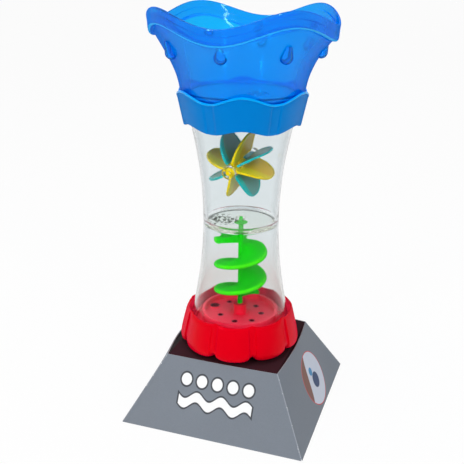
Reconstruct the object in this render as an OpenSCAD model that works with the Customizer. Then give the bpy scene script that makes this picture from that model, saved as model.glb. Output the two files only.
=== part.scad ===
// Sand wheel toy: a wavy funnel on a clear hourglass tube with a petal wheel and a spiral,
// on a red lobed base that stands in a tapered card display stand.
// Millimetres, +Z up. The origin is the centre of the stand's underside, the front faces -Y.

/* [Card stand] */
// Side of the stand along the ground
stand_base = 150.6; // [140:0.2:170]
// Side of the stand at its top edge
stand_top = 92.9; // [91:0.1:104]
// Height of the stand
stand_h = 53.1; // [40:0.1:70]
// Thickness of the card
card_t = 0.9; // [0.5:0.1:1.5]
// Depth of the tray's floor below the stand's top edge
tray_drop = 0.2; // [0.1:0.1:2]
// Height of the flange folded down all round the tray
tray_flange_h = 12; // [6:1:20]

/* [Red base] */
// How far the base's widest belly stands outside its top edge
skirt_belly = 6.3; // [4:0.1:9]
// Height of the base at the middle of a lobe
skirt_h = 30.3; // [26:0.1:38]
// Depth of the strips between the lobes
skirt_groove = 2.2; // [1:0.1:3]
// Wall of the base behind the strips
skirt_wall = 2; // [1.2:0.1:2.6]
// Thickness of the base's top lip
skirt_lip = 1.6; // [1.2:0.1:3]
// Width of the ring that the base stands on, at the strips
foot_wall = 1.4; // [1:0.1:2]
// Height of the inner ledge that carries the floor
ledge_h = 17.1; // [14:0.1:20]
// Thickness of the floor and of its flange
floor_t = 2; // [1.5:0.1:3]
// Radius of the round floor plate
floor_r = 29.2; // [24:0.1:32]
// Height of the floor plate's top above the flange
floor_raise = 4.9; // [3:0.1:7]
// Thickness of the wall round the floor plate
rim_wall_t = 2.2; // [1.5:0.1:3]
// Height of that wall above the plate
rim_wall_h = 4.5; // [2:0.1:6]
// Radius of the post that carries the spiral
post_r = 5.5; // [4:0.1:8]
// Height of the post above the plate
post_h = 8.6; // [7:0.1:11]
// Depth of the blind bore in the post
post_bore_h = 6; // [4:0.1:6.5]
// Radius of the drain holes
drain_r = 1.8; // [1:0.1:2.4]
// Radius of the large drain hole
big_drain_r = 3.4; // [2.5:0.1:4]
// Radius of the circle that most drain holes lie on
drain_ring_r = 17.5; // [15:0.1:18]

/* [Clear tube] */
// Outer radius at the waist
waist_r = 30.1; // [27:0.1:34]
// Outer radius at the foot
foot_r = 40; // [37:0.1:44]
// Outer radius at the neck
neck_r = 41; // [38:0.1:45]
// Wall of the tube
tube_wall = 1.8; // [1.2:0.1:2.4]
// Length of the lower half, from the floor's flange to the joint
lower_len = 85; // [80:0.5:100]
// Length of the upper half, from the joint to the neck's edge
upper_len = 101.2; // [96:0.2:115]
// Height of the straight foot
foot_h = 6.5; // [3:0.1:10]
// Height of the straight neck
neck_h = 14.9; // [12:0.1:20]
// Height of the waist's narrowest ring above the joint
waist_rise = 4; // [2:0.1:8]
// How far the neck's lip stands out
neck_lip = 1.5; // [1:0.1:2.5]
// Thickness of the neck's lip
neck_lip_t = 2; // [1:0.1:3]

/* [Sieve disc and flow plate] */
// Radius of the sieve disc
disc_r = 27.2; // [24:0.1:27.4]
// Thickness of the sieve disc
disc_t = 2.5; // [2:0.1:4]
// Width of the ring that the disc sits on
disc_seat_w = 1.5; // [1:0.1:2.5]
// Thickness of that ring, and of the bead above the disc
disc_seat_t = 2; // [1:0.1:3]
// Radius of the sieve holes
sieve_hole_r = 1.1; // [0.7:0.1:1.4]
// Spacing of the sieve holes
sieve_pitch = 3.9; // [3.4:0.1:5]
// Radius of the patch of sieve holes
sieve_patch_r = 8.5; // [5:0.1:9]
// Distance of the patch from the disc's centre
sieve_offset = 15; // [14:0.1:15.5]
// Radius of the disc's bearing boss
disc_boss_r = 3.6; // [3:0.1:5]
// Height of the bearing boss above the disc
disc_boss_h = 2; // [1:0.1:4]
// Thickness of the flow plate under the funnel
flow_t = 2; // [1.5:0.1:3]
// Radius of the flow plate's holes
flow_hole_r = 2.6; // [1.5:0.1:2.8]
// Radius of the ring of flow holes
flow_ring_r = 6.6; // [6.2:0.1:9]
// Distance of the flow holes from the plate's centre
flow_offset = 12; // [10:0.1:18]

/* [Petal wheel] */
// Radius of the wheel
wheel_r = 27.2; // [20:0.1:28]
// Half the width of a petal
petal_half_w = 23.8; // [14:0.1:26]
// How far the petals' middle sits in front of the tube's axis
petal_shift = 2; // [0:0.1:4]
// Thickness of a petal
petal_t = 1.6; // [1.2:0.1:2.4]
// Depth of a petal's curve
petal_cup = 1.5; // [1:0.1:4]
// Radius of the corners at a petal's root
petal_corner = 2.6; // [1:0.1:4]
// Radius of the hubs
hub_r = 4.5; // [4:0.1:6]
// Half the length of the two hubs together
hub_half = 13; // [9:0.1:18]
// Radius of the hub's nose
nose_r = 3.25; // [2.6:0.05:4.5]
// Radius of the axle
axle_r = 1.6; // [1.2:0.1:2.2]
// Height of the axle above the sieve disc
wheel_rise = 46.3; // [38:0.1:55]
// Radius of the axle's boss on the tube
boss_r = 5; // [4:0.1:6]
// Length of the axle's boss
boss_len = 4.6; // [3:0.1:7]

/* [Spiral] */
// Radius of the spiral
spiral_r = 21.7; // [15:0.1:24]
// Height of one turn
spiral_pitch = 22.4; // [16:0.1:30]
// Thickness of the blade's rim
blade_t = 3.4; // [2:0.1:3.8]
// How far the blade's edge hangs below its root
blade_droop = 2.4; // [0:0.1:3]
// Radius of the spiral's shaft
shaft_r = 2; // [1.6:0.1:3]
// Radius of the pin that turns in the sieve disc
pin_r = 1.5; // [1.1:0.1:2]
// Radius of the collar under the sieve disc
stop_r = 5.3; // [3:0.1:7]
// Thickness of that collar
stop_t = 1.2; // [0.8:0.1:2]
// Gap from the sieve disc down to the blade's upper end
blade_top_gap = 11; // [6:0.1:16]
// Gap from the post up to the blade's lower end
blade_low_gap = 6.2; // [5:0.1:9]

/* [Blue collar] */
// How far the collar's top stands outside its pocket
collar_flare = 6.8; // [4:0.1:8]
// How much narrower the collar is at its lower edge
collar_taper = 5.4; // [3:0.1:6]
// Height of the collar at the middle of a lobe
collar_h = 25.3; // [22:0.1:32]
// Height of the collar's top above the flow plate
collar_rise = 4.9; // [2:0.1:7]
// How far the top edge dips between lobes
collar_top_dip = 6.2; // [2:0.1:7]
// How far the lower edge dips between lobes
collar_low_dip = 4.2; // [2:0.1:6]
// Depth of the strips between the collar's lobes
collar_groove = 1.3; // [0.8:0.1:2]
// Wall of the collar
collar_wall = 1.8; // [1.2:0.1:2.2]
// Thickness of the ledge under the funnel's spigot
collar_ledge_t = 2; // [1.2:0.1:3]

/* [Funnel] */
// Radius of the funnel's rim
rim_r = 70.2; // [62:0.1:80]
// Height of the rim's middle line above the flow plate
rim_rise = 57; // [50:0.1:70]
// How far the rim waves up and down
rim_wave = 5.8; // [2:0.1:8]
// Height of the band round the rim
band_h = 11.8; // [8:0.1:14]
// How far the band stands outside the funnel's wall
band_step = 4.9; // [3:0.1:7]
// Wall of the funnel
funnel_wall = 1.8; // [1.2:0.1:2.4]
// Depth of the spigot that enters the collar
spigot_h = 8.2; // [6:0.1:9]
// Wall of the spigot
spigot_wall = 1.4; // [1:0.1:2]
// Half the width of a drop bump
drop_half_w = 4.6; // [3:0.1:5]
// Height of a drop bump
drop_h = 13; // [9:0.1:14]
// How far a drop bump stands out
drop_proud = 3.2; // [1.5:0.1:4]
// Height of a drop's lowest point above the flow plate
drop_rise = 23.6; // [20:0.1:26]

/* [Clearances] */
// Gap between fixed pieces that fit into each other
snug = 0.3; // [0.1:0.05:0.4]
// Gap between the card pieces
card_gap = 0.1; // [0.05:0.05:0.2]
// Running gap round an axle or a shaft
run_gap = 0.06; // [0.02:0.01:0.09]
// Gap at the end of a turning piece
end_gap = 0.3; // [0.15:0.05:0.5]

/* [Hidden] */
$fn = 96;

// Overrun of every cut
over = 1;

// Heights up the toy
seat_z = stand_h - tray_drop;
flange_z = seat_z + ledge_h;
tube_z = flange_z + floor_t;
plate_z = tube_z + floor_raise;
post_z = plate_z + post_h;
joint_z = tube_z + lower_len;
disc_z = joint_z + disc_t;
neck_z = joint_z + upper_len;
flow_z = neck_z + flow_t;
waist_z = joint_z + waist_rise;
wheel_z = disc_z + wheel_rise;

// Card stand: width of the card measured level, and the sleeve's side at a height
card_w = card_t * norm([(stand_base - stand_top) / 2, stand_h]) / stand_h;
function side_at(z) = stand_base - (stand_base - stand_top) * z / stand_h;

// Tube: the flare follows a power of the distance from the waist
flare_pow = 1.95;
flare_steps = 12;
foot_top_z = tube_z + foot_h;
neck_low_z = neck_z - neck_h;
function tube_r(z) =
    z < waist_z
    ? waist_r + (foot_r - waist_r) * pow(min(1, (waist_z - z) / (waist_z - foot_top_z)), flare_pow)
    : waist_r + (neck_r - waist_r) * pow(min(1, (z - waist_z) / (neck_low_z - waist_z)), flare_pow);

// Red base: radii that follow from the tube's foot
flange_lip = 1;
flange_r = foot_r + flange_lip;
pocket_r = flange_r + snug;
skirt_top_r = pocket_r + skirt_lip;
skirt_r = skirt_top_r + skirt_belly;
ledge_r = foot_r - floor_t;
ledge_t = floor_t;
ledge_slope = 2.4;
locator_h = 2.4;
locator_t = 1.2;
skirt_lobes = 9;
skirt_turn = 1.2;
skirt_low_rise = 4.6;
skirt_top_rise = 2;
// Height, radius and strip depth up the base's outside, as shares of its height, belly and groove
skirt_shares = [[0, -0.38, 0.6], [0.03, 0.11, 0.8], [0.1, 0.52, 1], [0.2, 0.84, 1], [0.32, 1, 1],
    [0.46, 0.93, 1], [0.6, 0.77, 1], [0.735, 0.585, 1], [0.897, 0.349, 0.8], [0.968, 0.175, 0.5],
    [1, 0.02, 0.2]];
belly_row = 4;

// Drain holes: direction of each and its share of the circle's radius, then the large one
drain_shares = [[58, 1.03], [133, 1.22], [216, 0.96], [274, 0.98], [321, 1.02], [12, 1.01]];
big_drain_turn = 171;
big_drain_share = 1.37;
big_drain_rim_t = 1.2;
big_drain_rim_h = 0.8;

// Sieve disc and flow plate
sieve_turn = 198;
disc_fit_r = disc_r + snug;
disc_seat_r = disc_r - disc_seat_w;
flow_holes = 6;
lip_r = neck_r + neck_lip;

// Petal wheel: the axle lies along Y
petals_each = 4;
wheel_turn = -17.6;
boss_face = tube_r(wheel_z) - tube_wall - boss_len;
nose_end = boss_face - end_gap;
axle_front = tube_r(wheel_z) - end_gap;
axle_back_bore = tube_r(wheel_z) - tube_wall / 2;
axle_back = axle_back_bore - end_gap;
petal_steps = 16;
// Squareness of a petal's round outline, 2 is an ellipse
petal_pow = 2.4;
petal_w = min(petal_half_w, boss_face - petal_shift - 4 * end_gap);

// Spiral
spiral_turn = 208;
blade_top_z = joint_z - blade_top_gap;
blade_low_z = post_z + blade_low_gap;
blade_turns = (blade_top_z - blade_low_z) / spiral_pitch;
blade_steps = ceil(40 * blade_turns);
blade_corner = 3;
// Places along the blade's section: share of its radius and share of half its rim's thickness
blade_shares = [[0.5, 0.6], [0.82, 0.66], [0.91, 0.95], [0.97, 0.8], [1, 0], [0.97, -0.8],
    [0.91, -0.95], [0.82, -0.66], [0.5, -0.6]];
blade_root_share = 0.6;

// Blue collar
spigot_in_r = lip_r + snug;
spigot_r = spigot_in_r + spigot_wall;
collar_pocket_r = spigot_r + snug / 2;
collar_top_r = collar_pocket_r + collar_flare;
collar_lobes = 6;
collar_turn = -12;
collar_top_z = flow_z + collar_rise;
spigot_z = flow_z - spigot_h;
collar_ledge_r = neck_r + snug;
collar_lip = 0.7;

// Funnel
rim_waves = 4;
rim_peak_turn = 48;
drop_turn = 3;
drop_count = 8;
shoulder_in = 2.3;
wall_low_r = spigot_r + shoulder_in;
wall_top_r = rim_r - band_step;
wall_low_z = flow_z;
rim_mid_z = flow_z + rim_rise;
// Places up the funnel's wall: share of its height and share of its growth in radius
wall_shares = [[0, 0], [0.05, 0.024], [0.17, 0.077], [0.3, 0.162], [0.43, 0.287], [0.5, 0.362],
    [0.56, 0.436], [0.62, 0.511], [0.68, 0.596], [0.74, 0.68], [0.8, 0.755], [0.87, 0.851],
    [0.94, 0.935], [1, 1]];

// Angles of one lobe's columns, from the lobe's middle to the next lobe's edge, as shares of its pitch
skirt_col_shares = [-0.4, -0.3, -0.2, -0.1, 0, 0.1, 0.2, 0.3, 0.4, 0.425, 0.5, 0.575];
collar_col_shares = [-0.41, -0.33, -0.25, -0.167, -0.083, 0, 0.083, 0.167, 0.25, 0.33, 0.41, 0.43,
    0.5, 0.57];
drop_col_shares = [-0.5, -0.4, -0.3, -0.2, -0.13, -0.1, -0.067, -0.033, 0, 0.033, 0.067, 0.1, 0.13,
    0.2, 0.3, 0.4];

// Columns round a lobed ring: each is its angle and its share of the lobe's pitch
function columns(count, turn, shares) =
    [for (k = [0:count - 1]) for (s = shares) [turn + (k + s) * 360 / count, s]];

// Distance from the lobe's middle as a share of the half pitch, 1 between two lobes
function off_middle(s) = 2 * min(abs(s), abs(1 - abs(s)));

// Depth of a lobe's outline below its middle: a soft crown, then the flat strip
function lobe_cut(s, edge, groove) =
    let (u = off_middle(s))
    u > 2 * edge + 0.001 ? groove : groove / 2 * pow(u / (2 * edge), 2);

// A point at an angle, a radius and a height
function spot(angle, r, z) = [r * cos(angle), r * sin(angle), z];

// A closed ring-shaped shell through rings of points, each with the same number of columns
module ring_shell(rings) {
    n = len(rings[0]);
    m = len(rings);
    polyhedron(
        points = [for (ring = rings) for (p = ring) p],
        faces = [for (j = [0:m - 1]) for (i = [0:n - 1]) for (half = [0, 1])
            let (a = j * n + i, b = j * n + (i + 1) % n)
            let (d = ((j + 1) % m) * n + i, c = ((j + 1) % m) * n + (i + 1) % n)
            half == 0 ? [a, d, c] : [a, c, b]]);
}

// A square frustum between two heights with its side given at each
module frustum(low_z, low_side, high_z, high_side) {
    corners = [[-1, -1], [1, -1], [1, 1], [-1, 1]];
    polyhedron(
        points = [for (c = corners) [c[0] * low_side / 2, c[1] * low_side / 2, low_z],
            for (c = corners) [c[0] * high_side / 2, c[1] * high_side / 2, high_z]],
        faces = [[0, 1, 2, 3], [7, 6, 5, 4], [0, 4, 5, 1], [1, 5, 6, 2], [2, 6, 7, 3], [3, 7, 4, 0]]);
}

module stand_sleeve() color([0.5, 0.53, 0.57]) {
    difference() {
        frustum(0, side_at(0), stand_h, side_at(stand_h));
        frustum(-over, side_at(-over) - 2 * card_w, stand_h + over, side_at(stand_h + over) - 2 * card_w);
    }
}

module stand_tray() color([0.18, 0.09, 0.11]) {
    low_z = seat_z - tray_flange_h;
    inset = 2 * (card_w + card_gap);
    difference() {
        frustum(low_z, side_at(low_z) - inset, seat_z, side_at(seat_z) - inset);
        frustum(low_z - over, side_at(low_z - over) - inset - 2 * card_w,
            seat_z - card_t, side_at(seat_z - card_t) - inset - 2 * card_w);
    }
}

// Red base: height of the outside at a share of the way up, between the wavy lower and upper edges
function skirt_z(s, share) =
    let (u = off_middle(s))
    let (low = skirt_low_rise * pow(u, 4), high = skirt_h + skirt_top_rise * pow(u, 3))
    seat_z + low + (high - low) * share;

module base_skirt() color([0.95, 0.02, 0.06]) {
    cols = columns(skirt_lobes, skirt_turn, skirt_col_shares);
    outside = [for (row = skirt_shares)
        [for (c = cols) spot(c[0],
            skirt_top_r + skirt_belly * row[1] - lobe_cut(c[1], 0.4, skirt_groove) * row[2],
            skirt_z(c[1], row[0]))]];
    hollow_r = skirt_r - skirt_groove - skirt_wall;
    foot = skirt_shares[0];
    foot_in_r = skirt_top_r + skirt_belly * foot[1] - skirt_groove * foot[2] - foot_wall;
    inside = [
        [for (c = cols) spot(c[0], pocket_r + snug, skirt_z(c[1], 1))],
        [for (c = cols) spot(c[0], pocket_r, skirt_z(c[1], 1) - skirt_lip)],
        [for (c = cols) spot(c[0], pocket_r, flange_z)],
        [for (c = cols) spot(c[0], ledge_r, flange_z)],
        [for (c = cols) spot(c[0], ledge_r, flange_z - ledge_t)],
        [for (c = cols) spot(c[0], hollow_r, flange_z - ledge_t - ledge_slope)],
        [for (c = cols) spot(c[0], hollow_r, skirt_z(c[1], skirt_shares[belly_row][0]))],
        [for (c = cols) spot(c[0], foot_in_r, skirt_z(c[1], 0))]
    ];
    ring_shell(concat(outside, inside));
}

module base_floor() color([0.85, 0.03, 0.12]) {
    wall_r = floor_r + rim_wall_t;
    locator_r = foot_r - tube_wall - snug;
    difference() {
        union() {
            rotate_extrude() polygon([
                [0, plate_z - floor_t], [floor_r, plate_z - floor_t], [floor_r, flange_z],
                [flange_r, flange_z], [flange_r, tube_z], [locator_r, tube_z],
                [locator_r, tube_z + locator_h], [locator_r - locator_t, tube_z + locator_h],
                [locator_r - locator_t, tube_z], [wall_r, tube_z], [wall_r, plate_z + rim_wall_h],
                [floor_r, plate_z + rim_wall_h], [floor_r, plate_z], [0, plate_z]
            ]);
            translate([0, 0, plate_z - floor_t]) cylinder(r = post_r, h = floor_t + post_h);
            rotate(big_drain_turn) translate([drain_ring_r * big_drain_share, 0, plate_z - floor_t])
                cylinder(r = big_drain_r + big_drain_rim_t, h = floor_t + big_drain_rim_h);
        }
        translate([0, 0, post_z - post_bore_h]) cylinder(r = shaft_r + run_gap, h = post_bore_h + over);
        for (d = drain_shares)
            rotate(d[0]) translate([drain_ring_r * d[1], 0, plate_z - floor_t - over])
                cylinder(r = drain_r, h = floor_t + 2 * over, $fn = 32);
        rotate(big_drain_turn)
            translate([drain_ring_r * big_drain_share, 0, plate_z - floor_t - over])
                cylinder(r = big_drain_r, h = floor_t + big_drain_rim_h + 2 * over, $fn = 48);
    }
}

// Tube outlines: radius and height up the outside of each half
lower_curve = [for (i = [0:flare_steps])
    let (z = foot_top_z + (joint_z - foot_top_z) * i / flare_steps) [tube_r(z), z]];
upper_curve = [for (i = [0:flare_steps + 2])
    let (z = joint_z + (neck_low_z - joint_z) * i / (flare_steps + 2)) [tube_r(z), z]];

// The points of a curve moved inwards by the wall, in reverse order
function inner_wall(curve) = [for (i = [len(curve) - 1:-1:0]) [curve[i][0] - tube_wall, curve[i][1]]];

module lower_tube() color([0.85, 0.88, 0.9, 0.35]) {
    seat_low_z = joint_z - disc_seat_t;
    rotate_extrude() polygon(concat(
        [[foot_r - tube_wall, tube_z], [foot_r, tube_z]],
        lower_curve,
        [[disc_seat_r, joint_z], [disc_seat_r, seat_low_z], [tube_r(seat_low_z) - tube_wall, seat_low_z]],
        [for (p = inner_wall(lower_curve)) if (p[1] < seat_low_z) p]
    ));
}

module upper_tube() color([0.82, 0.88, 0.93, 0.35]) {
    bead_z = disc_z + end_gap;
    difference() {
        union() {
            rotate_extrude() polygon(concat(
                upper_curve,
                [[neck_r, neck_z - neck_lip_t], [lip_r, neck_z - neck_lip_t], [lip_r, neck_z],
                    [neck_r - tube_wall, neck_z]],
                [for (p = inner_wall(upper_curve)) if (p[1] > bead_z + disc_seat_t) p],
                [[tube_r(bead_z) - tube_wall, bead_z + disc_seat_t / 2],
                    [disc_seat_r + disc_seat_w / 2, bead_z + disc_seat_t / 2],
                    [disc_seat_r + disc_seat_w / 2, bead_z],
                    [disc_fit_r, bead_z], [disc_fit_r, joint_z]]
            ));
            for (side = [-1, 1])
                translate([0, side * boss_face, wheel_z]) rotate([-90 * side, 0, 0])
                    cylinder(r = boss_r, h = boss_len + tube_wall / 2);
        }
        translate([0, 0, wheel_z]) rotate([90, 0, 0])
            cylinder(r = axle_r + run_gap, h = tube_r(wheel_z) + over);
        translate([0, 0, wheel_z]) rotate([-90, 0, 0])
            cylinder(r = axle_r + run_gap, h = axle_back_bore);
    }
}

module sieve_disc() color([0.9, 0.93, 0.92, 0.5]) {
    rows = ceil(sieve_patch_r / sieve_pitch);
    difference() {
        union() {
            translate([0, 0, joint_z]) cylinder(r = disc_r, h = disc_t);
            translate([0, 0, joint_z]) cylinder(r = disc_boss_r, h = disc_t + disc_boss_h);
        }
        translate([0, 0, joint_z - over])
            cylinder(r = pin_r + run_gap, h = disc_t + disc_boss_h + 2 * over);
        rotate(sieve_turn) translate([sieve_offset, 0, joint_z - over])
            for (i = [-rows:rows], j = [-rows:rows]) {
                x = sieve_pitch * (i + j / 2);
                y = sieve_pitch * j * sin(60);
                if (norm([x, y]) < sieve_patch_r)
                    translate([x, y, 0]) cylinder(r = sieve_hole_r, h = disc_t + 2 * over, $fn = 24);
            }
    }
}

module flow_plate() color([0, 0.45, 0.9, 0.6]) {
    difference() {
        translate([0, 0, neck_z]) cylinder(r = lip_r, h = flow_t);
        translate([flow_offset, 0, neck_z - over]) {
            cylinder(r = flow_hole_r, h = flow_t + 2 * over, $fn = 32);
            for (k = [0:flow_holes - 1])
                rotate(k * 360 / flow_holes) translate([flow_ring_r, 0, 0])
                    cylinder(r = flow_hole_r, h = flow_t + 2 * over, $fn = 32);
        }
    }
}

// Blue collar: heights of the wavy edges and of the sloping outside
function collar_high(s) = collar_top_z - collar_top_dip * pow(sin(90 * off_middle(s)), 2);
function collar_low(s) = collar_top_z - collar_h - collar_low_dip * pow(sin(90 * off_middle(s)), 2);
function collar_out(s, z) = collar_top_r - collar_taper * (collar_top_z - z) / collar_h
    - lobe_cut(s, 0.41, collar_groove);

module collar() color([0, 0.52, 0.85]) {
    cols = columns(collar_lobes, collar_turn, collar_col_shares);
    low_in = collar_wall + collar_groove / 2;
    outside = [for (share = [0, 0.06, 0.35, 0.65, 0.92])
        [for (c = cols)
            let (z = collar_low(c[1]) + (collar_high(c[1]) - collar_low(c[1])) * share)
            spot(c[0], collar_out(c[1], z) - (share == 0 ? collar_lip : 0), z)]];
    lip = [
        [for (c = cols) let (z = collar_high(c[1]) - collar_lip)
            spot(c[0], collar_out(c[1], z) + collar_lip / 2, z)],
        [for (c = cols) let (z = collar_high(c[1])) spot(c[0], collar_out(c[1], z) - collar_lip / 2, z)],
        [for (c = cols) let (z = collar_high(c[1]) - collar_lip / 2)
            spot(c[0], collar_out(c[1], z) - collar_wall, z)]
    ];
    inside = [
        [for (c = cols) spot(c[0], collar_pocket_r, spigot_z + collar_ledge_t)],
        [for (c = cols) spot(c[0], collar_pocket_r, spigot_z)],
        [for (c = cols) spot(c[0], collar_ledge_r, spigot_z)],
        [for (c = cols) spot(c[0], collar_ledge_r, spigot_z - collar_ledge_t)],
        [for (c = cols) let (z = spigot_z - 2 * collar_ledge_t)
            spot(c[0], collar_out(c[1], z) - collar_wall, z)],
        [for (c = cols) let (z = collar_low(c[1])) spot(c[0], collar_out(c[1], z) - low_in, z)]
    ];
    ring_shell(concat(outside, lip, inside));
}

// Funnel: the wavy top edge, the band's lower edge, and the wall between
function rim_z(angle) = rim_mid_z + rim_wave * cos(rim_waves * (angle - rim_peak_turn));
function band_z(angle) = rim_z(angle) - band_h;
calm_share = 0.45;
mid_band_z = rim_mid_z - band_h;
function wall_z(angle, share) =
    let (plain = wall_low_z + (mid_band_z - wall_low_z) * share)
    let (wave = band_z(angle) - mid_band_z)
    plain + wave * pow(max(0, (share - calm_share) / (1 - calm_share)), 2);

// Height of a drop bump at a place beside its middle line and above its lowest point
function drop_bump(beside, up) =
    up <= 0 || up >= drop_h ? 0 :
    let (w = up < drop_half_w
        ? sqrt(drop_half_w * drop_half_w - pow(drop_half_w - up, 2))
        : drop_half_w * pow(1 - (up - drop_half_w) / (drop_h - drop_half_w), 0.8))
    abs(beside) >= w ? 0
    : drop_proud * sqrt(1 - pow(beside / w, 2)) * pow(w / drop_half_w, 0.6);

// Rings of points round the funnel's wall and round its band
funnel_cols = columns(drop_count, drop_turn, drop_col_shares);
function wall_ring(row, inset, bumps) = [for (c = funnel_cols)
    let (r = wall_low_r + (wall_top_r - wall_low_r) * row[1], z = wall_z(c[0], row[0]))
    let (beside = r * c[1] * 2 * PI / drop_count)
    spot(c[0], r - inset + (bumps ? drop_bump(beside, z - flow_z - drop_rise) : 0), z)];
function band_ring(r, share, lift = 0) = [for (c = funnel_cols)
    spot(c[0], r, band_z(c[0]) + band_h * share + lift)];
function level_ring(r, z) = [for (c = funnel_cols) spot(c[0], r, z)];

module funnel() color([0, 0.5, 0.92, 0.75]) {
    plate_r = lip_r - shoulder_in;
    outside = concat(
        [level_ring(spigot_r, spigot_z), level_ring(spigot_r, neck_z)],
        [for (row = wall_shares) wall_ring(row, 0, true)]
    );
    band = [
        band_ring(rim_r - funnel_wall * 1.2, 0),
        band_ring(rim_r - funnel_wall * 0.4, 0.1),
        band_ring(rim_r - funnel_wall * 0.2, 0.5),
        band_ring(rim_r, 0.94),
        band_ring(rim_r - funnel_wall * 0.5, 1),
        band_ring(rim_r - funnel_wall, 0.95),
        band_ring(rim_r - funnel_wall * 1.2, 0.55),
        band_ring(rim_r - funnel_wall * 2, 0.5),
        band_ring(rim_r - funnel_wall * 2.2, 0, funnel_wall),
        band_ring(wall_top_r - funnel_wall, 0, funnel_wall)
    ];
    inside = concat(
        [for (i = [len(wall_shares) - 2:-1:1]) if (i % 2 == 0 || i < 3)
            wall_ring(wall_shares[i], funnel_wall, false)],
        [level_ring(plate_r, flow_z + funnel_wall), level_ring(plate_r, flow_z),
            level_ring(spigot_in_r, flow_z), level_ring(spigot_in_r, spigot_z)]
    );
    ring_shell(concat(outside, band, inside));
}

// One petal along +X with its root on the axle: a broad round outline cut from a curved sheet
module petal() {
    bend_r = (wheel_r * wheel_r / 4 + petal_cup * petal_cup) / (2 * petal_cup);
    side = concat(
        [[nose_r, petal_w - petal_corner], [nose_r + petal_corner, petal_w]],
        [for (i = [1:petal_steps])
            let (t = 90 * i / petal_steps)
            let (r = wheel_r * pow(sin(t), 2 / petal_pow))
            if (r > nose_r + 2 * petal_corner) [r, petal_w * pow(cos(t), 2 / petal_pow)]]
    );
    intersection() {
        translate([0, 0, -wheel_r / 2]) linear_extrude(height = wheel_r) polygon(concat(
            [for (p = side) [p[0], p[1] - petal_shift]],
            [for (i = [len(side) - 2:-1:0]) [side[i][0], -side[i][1] - petal_shift]]));
        translate([wheel_r / 2, 0, petal_cup - bend_r]) rotate([90, 0, 0]) difference() {
            cylinder(r = bend_r + petal_t / 2, h = 2 * wheel_r, center = true, $fn = 180);
            cylinder(r = bend_r - petal_t / 2, h = 3 * wheel_r, center = true, $fn = 180);
        }
    }
}

// Four petals on a hub that fills one half of the wheel's width and reaches to the boss on its side
module petal_set(side, turn) {
    translate([0, 0, wheel_z]) difference() {
        union() {
            difference() {
                for (k = [0:petals_each - 1])
                    rotate([0, -turn - k * 360 / petals_each, 0]) petal();
                rotate([-90 * side, 0, 0]) translate([0, 0, -end_gap / 2])
                    cylinder(r = hub_r + end_gap, h = wheel_r);
            }
            rotate([90 * side, 0, 0]) {
                translate([0, 0, end_gap / 2]) cylinder(r = hub_r, h = hub_half - end_gap / 2);
                translate([0, 0, end_gap / 2]) cylinder(r = nose_r, h = nose_end - end_gap / 2);
            }
        }
        rotate([90, 0, 0]) cylinder(r = axle_r + run_gap / 2, h = 2 * wheel_r + 2 * nose_end, center = true);
    }
}

module yellow_petals() color([1, 0.85, 0]) petal_set(1, wheel_turn);

module teal_petals() color([0.14, 0.72, 0.72]) petal_set(-1, wheel_turn + 180 / petals_each);

module wheel_axle() color([1, 0.82, 0]) {
    translate([0, -axle_front, wheel_z]) rotate([-90, 0, 0])
        cylinder(r = axle_r, h = axle_front + axle_back);
}

// Outer radius of the blade at a share of its length, rounded off at both ends
function blade_r(share) =
    let (arc = blade_turns * 2 * PI * spiral_r)
    let (from_end = min(share, 1 - share) * arc)
    from_end >= blade_corner ? spiral_r
    : spiral_r - blade_corner + sqrt(blade_corner * blade_corner - pow(blade_corner - from_end, 2));

// Triangles across a section of n points from point e on, in strips from its root to its rim
function cap_faces(n, e) =
    [for (k = [0:floor(n / 2) - 1]) for (half = [0, 1]) if (half == 0 || k + 1 < n - 2 - k)
        half == 0 ? [e + k, e + k + 1, e + n - 1 - k] : [e + k + 1, e + n - 2 - k, e + n - 1 - k]];

module blade() {
    root_r = shaft_r / 2;
    section = concat([[root_r / spiral_r, blade_root_share]], blade_shares,
        [[root_r / spiral_r, -blade_root_share]]);
    n = len(section);
    m = blade_steps + 1;
    polyhedron(
        points = [for (i = [0:m - 1])
            let (share = i / blade_steps, angle = spiral_turn - 360 * blade_turns * (1 - share))
            for (p = section)
                spot(angle, p[0] * blade_r(share),
                    blade_low_z + (blade_top_z - blade_low_z) * share
                    - blade_droop * p[0] * p[0] + p[1] * blade_t / 2)],
        faces = concat(
            cap_faces(n, 0),
            [for (f = cap_faces(n, (m - 1) * n)) [f[2], f[1], f[0]]],
            [for (i = [0:m - 2]) for (k = [0:n - 1]) for (half = [0, 1])
                let (a = i * n + k, b = i * n + (k + 1) % n)
                let (d = (i + 1) * n + k, c = (i + 1) * n + (k + 1) % n)
                half == 0 ? [a, d, c] : [a, c, b]]));
}

module spiral() color([0.15, 0.85, 0.02]) {
    shaft_low = post_z - post_bore_h + end_gap;
    stop_z = joint_z - end_gap;
    translate([0, 0, shaft_low]) cylinder(r = shaft_r, h = stop_z - shaft_low);
    translate([0, 0, stop_z - stop_t]) cylinder(r = stop_r, h = stop_t);
    translate([0, 0, stop_z - stop_t])
        cylinder(r = pin_r, h = stop_t + end_gap + disc_t + disc_boss_h - end_gap);
    blade();
}

stand_sleeve();
stand_tray();
base_skirt();
base_floor();
lower_tube();
upper_tube();
sieve_disc();
flow_plate();
collar();
funnel();
yellow_petals();
teal_petals();
wheel_axle();
spiral();
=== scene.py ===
import math

import bmesh
import bpy
from mathutils import Matrix, Vector


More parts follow.
